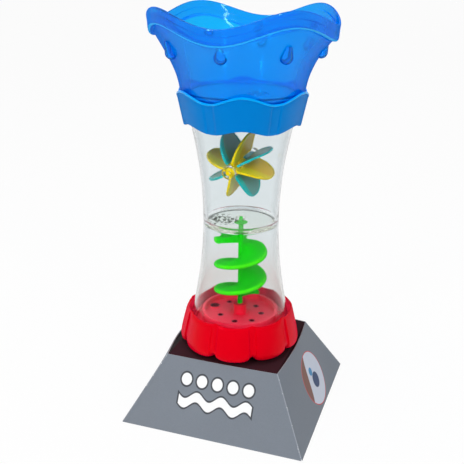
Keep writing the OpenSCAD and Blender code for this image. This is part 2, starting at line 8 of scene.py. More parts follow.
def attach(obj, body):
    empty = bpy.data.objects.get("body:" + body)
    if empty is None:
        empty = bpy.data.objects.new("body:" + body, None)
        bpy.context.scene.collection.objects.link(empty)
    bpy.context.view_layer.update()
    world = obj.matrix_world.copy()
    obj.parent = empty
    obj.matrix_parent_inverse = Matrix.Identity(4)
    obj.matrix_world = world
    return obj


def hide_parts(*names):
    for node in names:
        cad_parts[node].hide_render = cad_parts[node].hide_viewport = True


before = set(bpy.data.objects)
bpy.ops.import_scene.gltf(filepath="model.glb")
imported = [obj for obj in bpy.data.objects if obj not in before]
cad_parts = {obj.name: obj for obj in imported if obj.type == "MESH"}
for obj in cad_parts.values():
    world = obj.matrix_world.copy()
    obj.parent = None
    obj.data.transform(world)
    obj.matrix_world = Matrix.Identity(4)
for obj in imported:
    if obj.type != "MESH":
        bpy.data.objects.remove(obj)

bl_info = {
    "name": "Sand wheel toy",
    "version": (1, 0, 0),
    "blender": (4, 5, 0),
    "location": "3D View > Sidebar > Sand toy",
    "description": "Builds the looks of a sand wheel toy in its card display stand",
    "category": "Object",
}

MM = 0.001


# Sizes and colours

def length(label, about, millimetres):
    """A size property in metres, given here in millimetres."""
    return bpy.props.FloatProperty(
        name=label, description=about, default=millimetres * MM, min=0.0, unit="LENGTH", subtype="DISTANCE"
    )


def turn(label, about, degrees):
    """An angle property, given here in degrees."""
    return bpy.props.FloatProperty(
        name=label, description=about, default=math.radians(degrees), unit="ROTATION", subtype="ANGLE"
    )


def paint(label, about, colour):
    """A colour property."""
    return bpy.props.FloatVectorProperty(
        name=label, description=about, default=colour, size=3, min=0.0, max=1.0, subtype="COLOR"
    )


class SandToySizes(bpy.types.PropertyGroup):
    """Sizes of the toy and of its stand."""

    stand_base: length("Stand foot", "Side of the stand along the ground", 150.6)
    stand_top: length("Stand top", "Side of the stand at its top edge", 92.9)
    stand_height: length("Stand height", "Height of the stand", 53.1)
    card: length("Card", "Thickness of the card", 0.9)
    bow_left: length("Left bow", "How far the left top edge bows outwards", 6.5)
    bow_right: length("Right bow", "How far the right top edge bows outwards", 3.2)
    bow_back: length("Back bow", "How far the back top edge bows outwards", 5.0)
    bow_front: length("Front bow", "How far the front top edge bows outwards", 1.0)
    tray_height: length("Tray top", "Height of the tray's top face", 52.9)
    tray_skirt: length("Tray flange", "Height of the tray's folded sides", 12.0)
    skirt_foot: length("Base foot", "Height where the red base stands", 52.9)
    skirt_height: length("Base height", "Height of the red base between two lobes", 30.3)
    skirt_radius: length("Base top radius", "Radius of the red base at its top edge", 42.9)
    skirt_belly: length("Base belly", "How far the red base swells below its top edge", 6.3)
    skirt_groove: length("Base groove", "Depth of the flat strips between the base's lobes", 2.2)
    skirt_pocket: length("Base pocket", "Radius of the pocket that holds the tube's flange", 41.3)
    skirt_ledge: length("Base ledge", "Radius of the hole in the ledge under the flange", 38.0)
    flange_height: length("Flange height", "Height of the underside of the tube's flange", 70.0)
    tube_foot_height: length("Tube foot height", "Height of the lower end of the clear tube", 72.0)
    tube_straight: length("Straight foot", "Height of the tube's straight foot", 6.5)
    tube_foot: length("Tube foot", "Outer radius of the tube at its foot", 40.0)
    tube_waist: length("Tube waist", "Outer radius of the tube at its waist", 30.1)
    tube_neck: length("Tube neck", "Outer radius of the tube under the collar", 41.0)
    tube_wall: length("Tube wall", "Wall of the clear tube", 1.8)
    waist_height: length("Waist height", "Height of the narrowest place", 161.0)
    joint_height: length("Joint height", "Height where the two halves of the tube meet", 157.0)
    neck_low: length("Neck start", "Height where the straight neck starts", 243.3)
    neck_height: length("Neck height", "Height of the top of the tube's neck", 258.2)
    disc_radius: length("Disc radius", "Radius of the sieve disc", 27.2)
    flow_height: length("Flow plate top", "Height of the top of the flow plate", 260.2)
    collar_top: length("Collar top", "Height of the collar's highest edge", 265.1)
    collar_height: length("Collar height", "Height of the collar at a lobe's middle", 25.3)
    collar_radius: length("Collar radius", "Radius of the collar at its top edge", 51.15)
    collar_taper: length("Collar taper", "How much narrower the collar is at its lower edge", 5.4)
    collar_high_dip: length("Collar top dip", "Dip of the top edge between two lobes", 6.2)
    collar_low_dip: length("Collar low dip", "Dip of the lower edge between two lobes", 4.2)
    collar_groove: length("Collar groove", "Depth of the strips between the collar's lobes", 1.3)
    collar_pocket: length("Collar pocket", "Radius of the collar's bore round the funnel's spigot", 44.35)
    rim_radius: length("Rim radius", "Outer radius of the funnel's band", 70.2)
    rim_height: length("Rim height", "Mean height of the funnel's top edge", 317.2)
    rim_wave: length("Rim wave", "Height of the rim's waves either way", 5.8)
    band_height: length("Band height", "Height of the band round the rim", 11.8)
    band_step: length("Band step", "How far the band stands out from the wall", 4.9)
    funnel_wall: length("Funnel wall", "Wall of the funnel", 1.8)
    funnel_low: length("Funnel wall start", "Radius where the funnel's wall starts", 46.5)
    spigot: length("Spigot", "Outer radius of the funnel's spigot", 44.2)
    spigot_bore: length("Spigot bore", "Inner radius of the funnel's spigot", 42.8)
    spigot_foot: length("Spigot foot", "Height of the lower end of the spigot", 252.0)
    drop_radius: length("Drop radius", "Radius of each round-ended bump on the funnel", 4.6)
    drop_low: length("Drop low", "Height of the lowest point of the bumps", 287.3)
    drop_ring: length("Drop ring", "Distance of the bumps' middle lines from the axis", 57.9)
    wheel_height: length("Wheel height", "Height of the petal wheel's axle", 205.8)
    wheel_radius: length("Wheel radius", "Radius of the petal wheel", 27.2)
    petal_half: length("Petal half width", "Half the width of a petal along the axle", 23.8)
    petal_shift: length("Petal shift", "How far the petals sit towards the front", 2.0)
    petal_cup: length("Petal cup", "How far each petal is cupped", 1.5)
    petal_sheet: length("Petal sheet", "Thickness of a petal's edge", 2.8)
    hub_radius: length("Hub radius", "Radius of the hub halves", 4.5)
    hub_half: length("Hub half", "Length of one half of the hub", 13.0)
    nose_radius: length("Nose radius", "Radius of the hub's noses", 3.25)
    nose_end: length("Nose end", "Distance of each nose's end from the middle", 26.7)
    axle_radius: length("Axle radius", "Radius of the axle", 1.6)
    boss_radius: length("Boss radius", "Radius of the bosses in the tube for the axle", 5.0)
    boss_face: length("Boss face", "Distance of the bosses' inner faces from the middle", 27.03)
    wheel_turn: turn("Wheel turn", "Turn of the first yellow petal above the level", -17.6)
    blade_radius: length("Blade radius", "Radius of the spiral's blade", 21.7)
    blade_pitch: length("Blade pitch", "Rise of the blade in one turn", 22.4)
    blade_rim: length("Blade rim", "Thickness of the blade's rim", 3.4)
    blade_droop: length("Blade droop", "How far the blade's rim hangs below its root", 2.4)
    blade_low: length("Blade low", "Height of the blade's lower end", 91.7)
    blade_top: length("Blade top", "Height of the blade's upper end", 146.0)
    blade_turn: turn("Blade turn", "Direction of the blade's upper end", 208.0)
    shaft_radius: length("Shaft radius", "Radius of the spiral's shaft", 2.0)
    shaft_low: length("Shaft foot", "Height of the lower end of the shaft", 79.8)


class SandToyColours(bpy.types.PropertyGroup):
    """Colours of the toy and of its stand."""

    card: paint("Grey card", "Printed outside of the stand", (0.17, 0.195, 0.23))
    card_core: paint("Card core", "Cut edges of the card", (0.4, 0.4, 0.42))
    tray: paint("Tray card", "Dark card of the tray", (0.045, 0.01, 0.016))
    ink: paint("Ink outline", "Dark outline of the printed shapes", (0.045, 0.05, 0.06))
    red: paint("Red", "Red plastic of the base", (0.78, 0.0, 0.008))
    clear: paint("Clear", "Clear plastic of the tube", (0.85, 0.888, 0.9))
    funnel_blue: paint("Funnel blue", "See-through blue of the funnel", (0.0, 0.51, 0.97))
    collar_blue: paint("Collar blue", "Solid blue of the collar", (0.0, 0.215, 0.66))
    yellow: paint("Yellow", "Yellow plastic of the wheel", (1.0, 0.74, 0.0))
    teal: paint("Teal", "Teal plastic of the wheel", (0.0, 0.54, 0.54))
    green: paint("Green", "Green plastic of the spiral", (0.0, 0.68, 0.0))
    floor: paint("Floor", "Pale studio floor", (0.93, 0.93, 0.93))


def sizes():
    """The toy's sizes as the panel's scene holds them."""
    return bpy.context.scene.sand_toy_sizes


def colours():
    """The toy's colours as the panel's scene holds them."""
    return bpy.context.scene.sand_toy_colours


# Modelling steps

def settle():
    """Object mode with nothing selected."""
    if bpy.context.mode != "OBJECT":
        bpy.ops.object.mode_set(mode="OBJECT")
    bpy.ops.object.select_all(action="DESELECT")


def pick(obj):
    """Only this object selected and active."""
    settle()
    obj.select_set(True)
    bpy.context.view_layer.objects.active = obj


def edit(obj):
    """This object's mesh in edit mode."""
    pick(obj)
    bpy.ops.object.mode_set(mode="EDIT")


def select_by(kind):
    """Vertices, edges or faces as what gets selected."""
    bpy.ops.mesh.select_mode(type=kind)


def select_all():
    bpy.ops.mesh.select_all(action="SELECT")


def select_none():
    bpy.ops.mesh.select_all(action="DESELECT")


def stretch(value, centre=(0, 0, 0)):
    """The selection scaled from a centre."""
    bpy.ops.transform.resize(value=value, center_override=centre)


def shift(value):
    """The selection moved."""
    bpy.ops.transform.translate(value=value)


def apply_place():
    """The object's turn and place handed to its mesh."""
    bpy.ops.object.transform_apply(location=True, rotation=True, scale=True)


def assign(obj, slot):
    """The selected faces given the material in one of the object's slots."""
    obj.active_material_index = slot
    bpy.ops.object.material_slot_assign()


def named(name):
    """The object just made, it and its data named."""
    obj = bpy.context.object
    obj.name = name
    obj.data.name = name
    return obj


def edit_mesh():
    """The mesh in edit mode, its vertices ready to be looked up by number."""
    bm = bmesh.from_edit_mesh(bpy.context.object.data)
    bm.verts.ensure_lookup_table()
    return bm


def select_indices(indices):
    """Only these vertices of the mesh in edit mode selected, with the edges between them."""
    select_none()
    bm = edit_mesh()
    for i in indices:
        bm.verts[i].select_set(True)
    bm.select_flush(True)
    bmesh.update_edit_mesh(bpy.context.object.data, loop_triangles=False, destructive=False)


def select_where(test):
    """Vertices whose place passes the test selected, nothing else."""
    select_indices([v.index for v in edit_mesh().verts if test(v.co)])


def select_faces(test):
    """Faces that pass the test selected, nothing else."""
    select_by("FACE")
    select_none()
    bm = edit_mesh()
    for f in bm.faces:
        f.select_set(bool(test(f)))
    bmesh.update_edit_mesh(bpy.context.object.data, loop_triangles=False, destructive=False)


def group_by(pairs):
    """Numbers of the points that share a value, from pairs of number and value."""
    groups = {}
    for i, value in pairs:
        groups.setdefault(round(value, 7), []).append(i)
    return groups


def shape_ring(place):
    """The selected ring moved so that each of its points has the radius and height that place gives.
    Points that move alike move together, and a ring that only rises or tilts moves in one step."""
    tiny = 1e-6
    bm = edit_mesh()
    ring = [v.index for v in bm.verts if v.select]
    grow, lift, heights = [], [], []
    for i in ring:
        co = bm.verts[i].co
        radius, height = place(math.degrees(math.atan2(co.y, co.x)))
        grow.append((i, radius / math.hypot(co.x, co.y)))
        lift.append((i, height - co.z))
        heights.append(co.z)
    groups = group_by(grow)
    for factor, members in groups.items():
        if abs(factor - 1) > tiny:
            if len(groups) > 1:
                select_indices(members)
            stretch((factor, factor, 1))
    if len(groups) > 1:
        select_indices(ring)
    low, high = min(heights), max(heights)
    lift_at = dict(zip(heights, (v for _, v in lift)))
    slope = (lift_at[high] - lift_at[low]) / (high - low) if high - low > tiny else 0.0
    if all(abs(v - lift_at[low] - slope * (z - low)) < 2 * tiny for z, (_, v) in zip(heights, lift)):
        if abs(slope) > tiny:
            stretch((1, 1, 1 + slope), (0, 0, low))
        shift((0, 0, lift_at[low]))
        return
    for rise, members in group_by(lift).items():
        if abs(rise) > tiny / 10:
            select_indices(members)
            shift((0, 0, rise))
    select_indices(ring)


def ring_shell(name, columns, first_turn, rows):
    """A closed shell drawn row by row round the axis: each row gives radius and height at an angle."""
    settle()
    turned_to = (0, 0, math.radians(first_turn))
    bpy.ops.mesh.primitive_circle_add(vertices=columns, radius=0.05, rotation=turned_to)
    obj = named(name)
    apply_place()
    bpy.ops.object.mode_set(mode="EDIT")
    select_by("VERT")
    select_all()
    shape_ring(rows[0])
    for row in rows[1:]:
        bpy.ops.mesh.extrude_region_move()
        shape_ring(row)
    select_none()
    bpy.ops.mesh.select_non_manifold(extend=False)
    bpy.ops.mesh.bridge_edge_loops()
    outward()
    return obj


def outward():
    """Normals of the whole mesh in edit mode turned outwards."""
    select_all()
    bpy.ops.mesh.normals_make_consistent(inside=False)


def draw_line(name, points):
    """A chain of edges in the plane Y = 0, drawn point by point from one vertex."""
    settle()
    bpy.ops.mesh.primitive_plane_add(size=0.001)
    obj = named(name)
    bpy.ops.object.mode_set(mode="EDIT")
    select_by("VERT")
    select_all()
    bpy.ops.mesh.merge(type="CENTER")
    shift((points[0][0], 0, points[0][1]))
    for a, b in zip(points, points[1:]):
        bpy.ops.mesh.extrude_vertices_move(TRANSFORM_OT_translate={"value": (b[0] - a[0], 0, b[1] - a[1])})
    return obj


def turned(name, points, sides, closed=True):
    """A body of revolution about the toy's axis from a drawn outline."""
    obj = draw_line(name, points)
    if closed:
        select_indices([0, len(points) - 1])
        bpy.ops.mesh.edge_face_add()
    select_all()
    bpy.ops.mesh.spin(steps=sides, angle=2 * math.pi, center=(0, 0, 0), axis=(0, 0, 1))
    select_all()
    bpy.ops.mesh.remove_doubles(threshold=0.000001)
    outward()
    return obj


def add(obj, name, kind, **settings):
    """A modifier with its settings, applied at once."""
    pick(obj)
    modifier = obj.modifiers.new(name, kind)
    for key, value in settings.items():
        setattr(modifier, key, value)
    bpy.ops.object.modifier_apply(modifier=modifier.name)


def rounded(obj, width, angle, segments):
    """Edges sharper than an angle rounded."""
    add(obj, "rounded edges", "BEVEL", width=width, segments=segments, limit_method="ANGLE",
        angle_limit=math.radians(angle), use_clamp_overlap=True)


def smooth(obj, angle):
    """Smooth shading, with edges sharper than an angle left crisp."""
    pick(obj)
    bpy.ops.object.shade_smooth_by_angle(angle=math.radians(angle))


def cut(obj, tool, operation):
    """A tool joined to an object or taken out of it, and then deleted."""
    add(obj, "joined with a tool", "BOOLEAN", object=tool, operation=operation, solver="EXACT")
    pick(tool)
    bpy.ops.object.delete()


def joined(name, parts):
    """Several meshes made one object."""
    settle()
    for part in parts:
        part.select_set(True)
    bpy.context.view_layer.objects.active = parts[0]
    bpy.ops.object.join()
    return named(name)


def copy_of(obj, name):
    """A copy with a mesh of its own."""
    pick(obj)
    bpy.ops.object.duplicate(linked=False)
    return named(name)


def place_mesh(obj, rotation=(0, 0, 0), location=(0, 0, 0)):
    """The mesh turned and moved, its object left at the origin."""
    pick(obj)
    obj.rotation_euler = rotation
    obj.location = location
    apply_place()


def curve(points, at):
    """A smooth curve through a list of pairs."""
    if at <= points[0][0]:
        return points[0][1]
    if at >= points[-1][0]:
        return points[-1][1]
    i = max(k for k in range(len(points) - 1) if points[k][0] <= at)

    def slope(k):
        a, b = points[max(0, k - 1)], points[min(len(points) - 1, k + 1)]
        return (b[1] - a[1]) / (b[0] - a[0])

    (x0, y0), (x1, y1) = points[i], points[i + 1]
    h = x1 - x0
    t = (at - x0) / h
    return ((2 * t ** 3 - 3 * t ** 2 + 1) * y0 + (t ** 3 - 2 * t ** 2 + t) * h * slope(i)
            + (3 * t ** 2 - 2 * t ** 3) * y1 + (t ** 3 - t ** 2) * h * slope(i + 1))


def beside(angle, count, first):
    """Signed place in a lobe: 0 in its middle, -1 and 1 between two lobes."""
    return 2 * (((angle - first) * count / 360 + 0.5) % 1 - 0.5)


def steps(count, low, high):
    """Evenly spaced values from low to high."""
    return [low + (high - low) * i / (count - 1) for i in range(count)]


def level(radius, height):
    """A round, level row of a shell."""
    return lambda angle: (radius, height)


def groove(place, start, end, part):
    """Share of a strip's depth: up to a part of it over the lobe, all of it once past the lobe's end."""
    if place > end:
        return 1.0
    if place > start:
        return part + (1 - part) * (place - start) / (end - start)
    return part * (place / start) ** 2


# Materials

class Nodes:
    """Short ways to add, set and join the nodes of a tree."""

    def __init__(self, tree):
        self.tree = tree

    def add(self, kind, **values):
        node = self.tree.nodes.new(kind)
        for key, value in values.items():
            setattr(node, key, value)
        return node

    def feed(self, socket, value):
        """Another node's output linked to a socket, or a constant set on it."""
        if isinstance(value, bpy.types.NodeSocket):
            self.tree.links.new(value, socket)
        elif socket.type == "RGBA":
            socket.default_value = (*value[:3], 1)
        else:
            socket.default_value = value

    def put(self, node, **values):
        """Inputs fed by name, each space of the name written as _."""
        for key, value in values.items():
            self.feed(node.inputs[key.replace("_", " ")], value)
        return node

    def math(self, operation, a, b=None, clamp=False):
        node = self.add("ShaderNodeMath", operation=operation, use_clamp=clamp)
        self.feed(node.inputs[0], a)
        if b is not None:
            self.feed(node.inputs[1], b)
        return node.outputs[0]

    def plus(self, a, b, clamp=False):
        return self.math("ADD", a, b, clamp)

    def minus(self, a, b):
        return self.math("SUBTRACT", a, b)

    def times(self, a, b):
        return self.math("MULTIPLY", a, b)

    def absolute(self, a):
        return self.math("ABSOLUTE", a)

    def hypot(self, a, b):
        return self.math("SQRT", self.plus(self.times(a, a), self.times(b, b)))

    def below(self, value, limit, soft=0.00012):
        """1 where the value is under the limit, with a fine soft edge."""
        return self.math("DIVIDE", self.minus(limit + soft, value), 2 * soft, clamp=True)

    def rise(self, value, start, reach):
        """0 up to the start, 1 once the value is further than the reach past it."""
        return self.math("DIVIDE", self.minus(value, start), reach, clamp=True)

    def place(self):
        return self.add("ShaderNodeTexCoord").outputs["Object"]

    def axes(self, place):
        return self.put(self.add("ShaderNodeSeparateXYZ"), Vector=place).outputs

    def facing(self):
        """0 where a face is seen straight on, 1 where it is seen from its side."""
        return self.add("ShaderNodeLayerWeight").outputs["Facing"]

    def noise(self, vector, scale, detail=3.0, rough=0.5):
        node = self.add("ShaderNodeTexNoise")
        return self.put(node, Scale=scale, Detail=detail, Roughness=rough, Vector=vector).outputs["Fac"]

    def mix(self, share, a, b):
        node = self.add("ShaderNodeMix", data_type="RGBA")
        for i, value in ((0, share), (6, a), (7, b)):
            self.feed(node.inputs[i], value)
        return node.outputs[2]

    def blend(self, share, first, second):
        """Two shaders mixed."""
        node = self.add("ShaderNodeMixShader")
        for socket, value in zip(node.inputs, (share, first, second)):
            self.feed(socket, value)
        return node.outputs[0]

    def bump(self, shader, height, strength, distance):
        node = self.put(self.add("ShaderNodeBump"), Height=height, Strength=strength, Distance=distance)
        self.put(shader, Normal=node.outputs["Normal"])


def moulded_skin():
    """Node group: faint waviness of moulded plastic and the fine haze on its gloss."""
    name = "moulded skin"
    if name in bpy.data.node_groups:
        return bpy.data.node_groups[name]
    group = bpy.data.node_groups.new(name, "ShaderNodeTree")
    for label, way, kind in (("Place", "INPUT", "Vector"), ("Gloss", "INPUT", "Float"),
                             ("Spread", "INPUT", "Float"), ("Height", "OUTPUT", "Float"),
                             ("Roughness", "OUTPUT", "Float")):
        group.interface.new_socket(name=label, in_out=way, socket_type="NodeSocket" + kind)
    n = Nodes(group)
    inputs = n.add("NodeGroupInput").outputs
    wavy = n.noise(inputs["Place"], 38.0, 2.0)
    grain = n.noise(inputs["Place"], 2400.0, 2.0, 0.6)
    haze = n.noise(inputs["Place"], 140.0, 4.0, 0.6)
    spread = n.times(n.minus(haze, 0.5), inputs["Spread"])
    n.put(n.add("NodeGroupOutput"), Height=n.plus(n.times(wavy, 0.9), n.times(grain, 0.05)),
          Roughness=n.plus(inputs["Gloss"], spread, clamp=True))
    return group


def once(name):
    """Marks a material function: made at its first call, found by its name later."""
    def mark(make):
        return lambda: bpy.data.materials.get(name) or make(name)
    return mark


def material(name):
    """A new material with its shader and Object coordinates: (material, nodes, shader, place)."""
    mat = bpy.data.materials.new(name)
    mat.use_nodes = True
    n = Nodes(mat.node_tree)
    return mat, n, mat.node_tree.nodes["Principled BSDF"], n.place()


def retouch(mat):
    """What a later change of colour needs: nodes, shader, the tone so far and the place."""
    n = Nodes(mat.node_tree)
    shader = mat.node_tree.nodes["Principled BSDF"]
    return n, shader, shader.inputs["Base Color"].links[0].from_socket, n.place()


def plastic(name, colour, gloss, spread=0.1, wavy=0.0004, see_through=0.0, ior=1.49, tint=0.06,
            glow=0.0, coat=0.0, sheen=0.5, reflect=(1, 1, 1), rim=None, edge=None, mute=0.0,
            dense=None, shade=None):
    """Moulded plastic: colour a little uneven, gloss hazed, surface faintly wavy.
    A rim gives a radius about the toy's axis, its softness and the colour outside it, an edge the colour
    where the wall is seen from its side, mute the share that only lets light through, dense the colour that
    the piece keeps where it is seen from its side, shade the colour of the light that falls through it."""
    most_bounces = 6.5
    edge_from, edge_over = 0.42, 0.38
    dense_from, dense_over, dense_share = 0.38, 0.4, 0.9
    mat, n, shader, place = material(name)
    skin = n.put(n.add("ShaderNodeGroup", node_tree=moulded_skin()), Gloss=gloss, Spread=spread, Place=place)
    haze = skin.outputs["Roughness"]
    tone = n.mix(n.noise(place, 24.0, 3.0), colour, [c * (1 - tint) for c in colour])
    if rim:
        radius, soft, outside = rim
        x, y, _ = n.axes(place)
        tone = n.mix(n.below(n.hypot(x, y), radius, soft), outside, tone)
    if edge:
        tone = n.mix(n.rise(n.facing(), edge_from, edge_over), tone, edge)
    n.put(shader, Base_Color=tone, Roughness=haze, IOR=ior, Transmission_Weight=see_through,
          Coat_Weight=coat, Specular_IOR_Level=sheen, Specular_Tint=reflect)
    n.bump(shader, skin.outputs["Height"], 0.35, wavy)
    if glow:
        n.put(shader, Subsurface_Weight=glow, Subsurface_Radius=(1.0, 1.0, 1.0), Subsurface_Scale=0.003)
    body = shader.outputs[0]
    if mute:
        root = n.put(n.add("ShaderNodeGamma"), Color=tone, Gamma=0.5)
        through = n.put(n.add("ShaderNodeBsdfRefraction"), Color=root.outputs[0], Roughness=haze, IOR=ior)
        body = n.blend(mute, body, through.outputs[0])
    if dense:
        solid = n.put(n.add("ShaderNodeBsdfDiffuse"), Color=dense)
        share = n.times(n.rise(n.facing(), dense_from, dense_over), dense_share)
        body = n.blend(share, body, solid.outputs[0])
    if see_through:
        passed = n.put(n.add("ShaderNodeBsdfTransparent"), Color=shade or [math.sqrt(c) for c in colour])
        paths = n.add("ShaderNodeLightPath").outputs
        deep = n.math("GREATER_THAN", paths["Ray Depth"], most_bounces)
        body = n.blend(n.math("MAXIMUM", paths["Is Shadow Ray"], deep), body, passed.outputs[0])
    n.put(mat.node_tree.nodes["Material Output"], Surface=body)
    return mat


def dress(obj, *materials):
    """These materials as the object's only ones, all its faces in the first."""
    obj.data.materials.clear()
    for mat in materials:
        obj.data.materials.append(mat)


@once("clear tube plastic")
def clear_plastic(name):
    """Clear plastic with painted shade, a little darker and warmer towards the tube's foot."""
    foot, shade_from, shade_to = 0.078, 0.15, 0.09
    mat = plastic(name, colours().clear, 0.03, 0.05, see_through=1.0, ior=1.46, tint=0.02,
                  reflect=(0.2, 0.205, 0.21), edge=(0.56, 0.585, 0.6), shade=(0.98, 0.98, 0.98))
    n, shader, tone, place = retouch(mat)
    z = n.axes(place)[2]
    # Painted shade: the clear plastic turns darker and warmer from just above the foot up to shade_from.
    low = n.math("DIVIDE", n.minus(shade_from, z), shade_from - shade_to, clamp=True)
    low = n.times(low, n.rise(z, foot, 0.02))
    tone = n.mix(n.below(z, foot + 0.006, 0.006), tone, colours().clear)
    n.put(shader, Base_Color=n.mix(low, tone, (0.8, 0.785, 0.765)))
    return mat


@once("see-through blue plastic")
def funnel_plastic(name):
    return plastic(name, colours().funnel_blue, 0.06, 0.08, 0.0006, see_through=0.72, ior=1.42, tint=0.04,
                   reflect=(0.4, 0.9, 1.0), mute=0.4, coat=0.15, dense=(0.0, 0.17, 0.76))


@once("deeper blue of the rim band")
def band_plastic(name):
    return plastic(name, (0.0, 0.4, 0.97), 0.06, 0.08, 0.0006, see_through=0.72, ior=1.42, tint=0.04,
                   reflect=(0.4, 0.9, 1.0), mute=0.4, coat=0.15, dense=(0.0, 0.2, 0.86))


@once("thick blue of the drops")
def drop_plastic(name):
    return plastic(name, (0.0, 0.42, 0.97), 0.06, 0.08, 0.0003, see_through=0.8, ior=1.46, tint=0.04,
                   reflect=(0.5, 0.9, 1.0), mute=0.3, dense=(0.0, 0.06, 0.5))


# Painted highlight: a lighter blue for the faces along the band's lower lip.
@once("lit lower lip of the band")
def band_lip_highlight(name):
    return plastic(name, (0.03, 0.5, 1.0), 0.15, 0.08, see_through=0.25, ior=1.42,
                   reflect=(0.4, 0.9, 1.0), dense=(0.02, 0.45, 1.0))


@once("blue flow plate plastic")
def plate_plastic(name):
    return plastic(name, colours().funnel_blue, 0.2, see_through=0.3, ior=1.46,
                   reflect=(0.15, 0.55, 0.95), shade=(0.0, 0.04, 0.1))


@once("solid blue plastic")
def collar_plastic(name):
    return plastic(name, colours().collar_blue, 0.2, wavy=0.0005, glow=0.2, sheen=0.3,
                   reflect=(0.05, 0.6, 1.0), dense=(0.0, 0.19, 0.6))


# Painted highlight: a lighter blue for the faces along the collar's top lip.
@once("lit blue lip")
def collar_lip_highlight(name):
    return plastic(name, (0.0, 0.4, 0.95), 0.2, wavy=0.0003, glow=0.3, sheen=0.4, reflect=(0.05, 0.7, 1.0))


@once("red base plastic")
def red_plastic(name):
    return plastic(name, colours().red, 0.18, wavy=0.0005, glow=0.15, sheen=0.16,
                   reflect=(1.0, 0.05, 0.15), dense=(0.85, 0.0, 0.035))


# Painted light: a lighter copy of the red for the pocket walls inside the base, where little light reaches.
@once("red plastic inside the base")
def red_inside_painted_light(name):
    return plastic(name, (1.0, 0.03, 0.1), 0.3, wavy=0.0003, glow=0.2, sheen=0.3,
                   reflect=(1.0, 0.2, 0.3), dense=(1.0, 0.02, 0.08))


@once("satin red floor")
def floor_plastic(name):
    """Satin red of the base's floor, with painted shade round its holes."""
    small, large = 1.8, 3.4
    holes = ((58, 18.0, small), (133, 21.3, small), (216, 16.8, small), (274, 17.2, small),
             (321, 17.9, small), (12, 17.7, small), (171, 24.0, large))
    mat = plastic(name, (0.95, 0.0, 0.035), 0.3, wavy=0.0003, glow=0.1, sheen=0.3,
                  reflect=(1.0, 0.2, 0.3), rim=(0.0095, 0.0008, (1.0, 0.03, 0.08)))
    n, shader, tone, place = retouch(mat)
    x, y, _ = n.axes(place)
    hole_shade_distance = None
    for angle, ring, radius in holes:
        hole_x = ring * MM * math.cos(math.radians(angle))
        hole_y = ring * MM * math.sin(math.radians(angle))
        away = n.minus(n.hypot(n.minus(x, hole_x), n.minus(y, hole_y)), radius * MM)
        hole_shade_distance = away if hole_shade_distance is None else n.math("MINIMUM", hole_shade_distance, away)
    # Painted shade: a dark ring round each hole.
    n.put(shader, Base_Color=n.mix(n.below(hole_shade_distance, 0.0006, 0.0003), tone, (0.13, 0.0, 0.012)))
    return mat


@once("yellow wheel plastic")
def yellow_plastic(name):
    return plastic(name, colours().yellow, 0.3, glow=0.2, sheen=0.15, reflect=(1.0, 0.8, 0.15))


# Painted shade: a duller, more orange copy of the yellow for the petals' faces.
@once("dull yellow petal face")
def yellow_face_shaded(name):
    return plastic(name, (1.0, 0.6, 0.015), 0.34, sheen=0.1, reflect=(1.0, 0.8, 0.3))


@once("teal wheel plastic")
def teal_plastic(name):
    return plastic(name, colours().teal, 0.3, glow=0.15, sheen=0.15, reflect=(0.2, 0.9, 0.9))


# Painted shade: a darker copy of the teal for the petals' faces.
@once("dull teal petal face")
def teal_face_shaded(name):
    return plastic(name, (0.1, 0.37, 0.34), 0.34, sheen=0.15, reflect=(0.6, 0.9, 0.9))


# Painted light: beyond a radius, the blade's rim is a lighter green than its root.
@once("green spiral plastic")
def green_plastic(name):
    return plastic(name, colours().green, 0.25, glow=0.25, sheen=0.15, reflect=(0.2, 1.0, 0.1),
                   dense=(0.0, 0.7, 0.0), rim=(0.0196, 0.0009, (0.05, 0.82, 0.0)))


@once("clear disc plastic")
def sieve_plastic(name):
    """Clear disc, its edge painted dark behind as shade and painted cream in front as light, with dark flecks
    of painted shade round its holes.
    """
    patch, patch_turn, patch_radius = 0.015, math.radians(198), 0.0122
    front = math.radians(288)
    mat = plastic(name, (0.95, 0.965, 0.93), 0.08, see_through=0.94, ior=1.06, tint=0.02,
                  reflect=(0.4, 0.4, 0.4))
    n, shader, tone, place = retouch(mat)
    x, y, z = n.axes(place)
    away = n.hypot(n.minus(x, patch * math.cos(patch_turn)), n.minus(y, patch * math.sin(patch_turn)))
    # Painted shade: dark flecks over the patch of holes.
    flecks = n.below(n.noise(place, 330.0, 1.0, 0.6), 0.43, 0.004)
    tone = n.mix(n.times(flecks, n.below(away, patch_radius, 0.0006)), tone, (0.05, 0.06, 0.045))
    inside = n.below(n.hypot(x, y), sizes().disc_radius - 0.001, 0.0001)
    ahead = n.plus(n.times(x, math.cos(front)), n.times(y, math.sin(front)))
    ahead = n.plus(n.times(ahead, 80.0), 0.5, clamp=True)
    # Painted shade on the edge behind and below the joint, painted light on the edge in front.
    shaded_low_edge = n.below(z, sizes().joint_height + 0.0008, 0.0001)
    edge = n.times(n.math("MAXIMUM", shaded_low_edge, ahead), n.minus(1.0, inside))
    painted_edge_tone = n.mix(ahead, (0.02, 0.022, 0.022), (0.86, 0.8, 0.62))
    n.put(shader, Base_Color=n.mix(edge, tone, painted_edge_tone))
    return mat


def front_print(n, x, z):
    """Distance to the front's print, a wave with a row of discs over it, less than 0 inside."""
    wave_length, wave_level, wave_swing, half_wide, wave_reach = 0.0205, 0.0245, 0.0026, 0.0033, 0.0305
    disc_step, disc_level, disc_radius, disc_reach = 0.013, 0.0385, 0.0043, 0.0318
    wave = n.times(n.math("SINE", n.times(x, 2 * math.pi / wave_length)), wave_swing)
    band = n.minus(n.absolute(n.minus(n.minus(z, wave_level), wave)), half_wide)
    band = n.math("MAXIMUM", band, n.minus(n.absolute(x), wave_reach))
    cell = n.minus(n.math("FLOORED_MODULO", n.plus(x, disc_step / 2), disc_step), disc_step / 2)
    discs = n.minus(n.hypot(cell, n.minus(z, disc_level)), disc_radius)
    discs = n.math("MAXIMUM", discs, n.minus(n.absolute(x), disc_reach))
    return n.math("MINIMUM", band, discs)


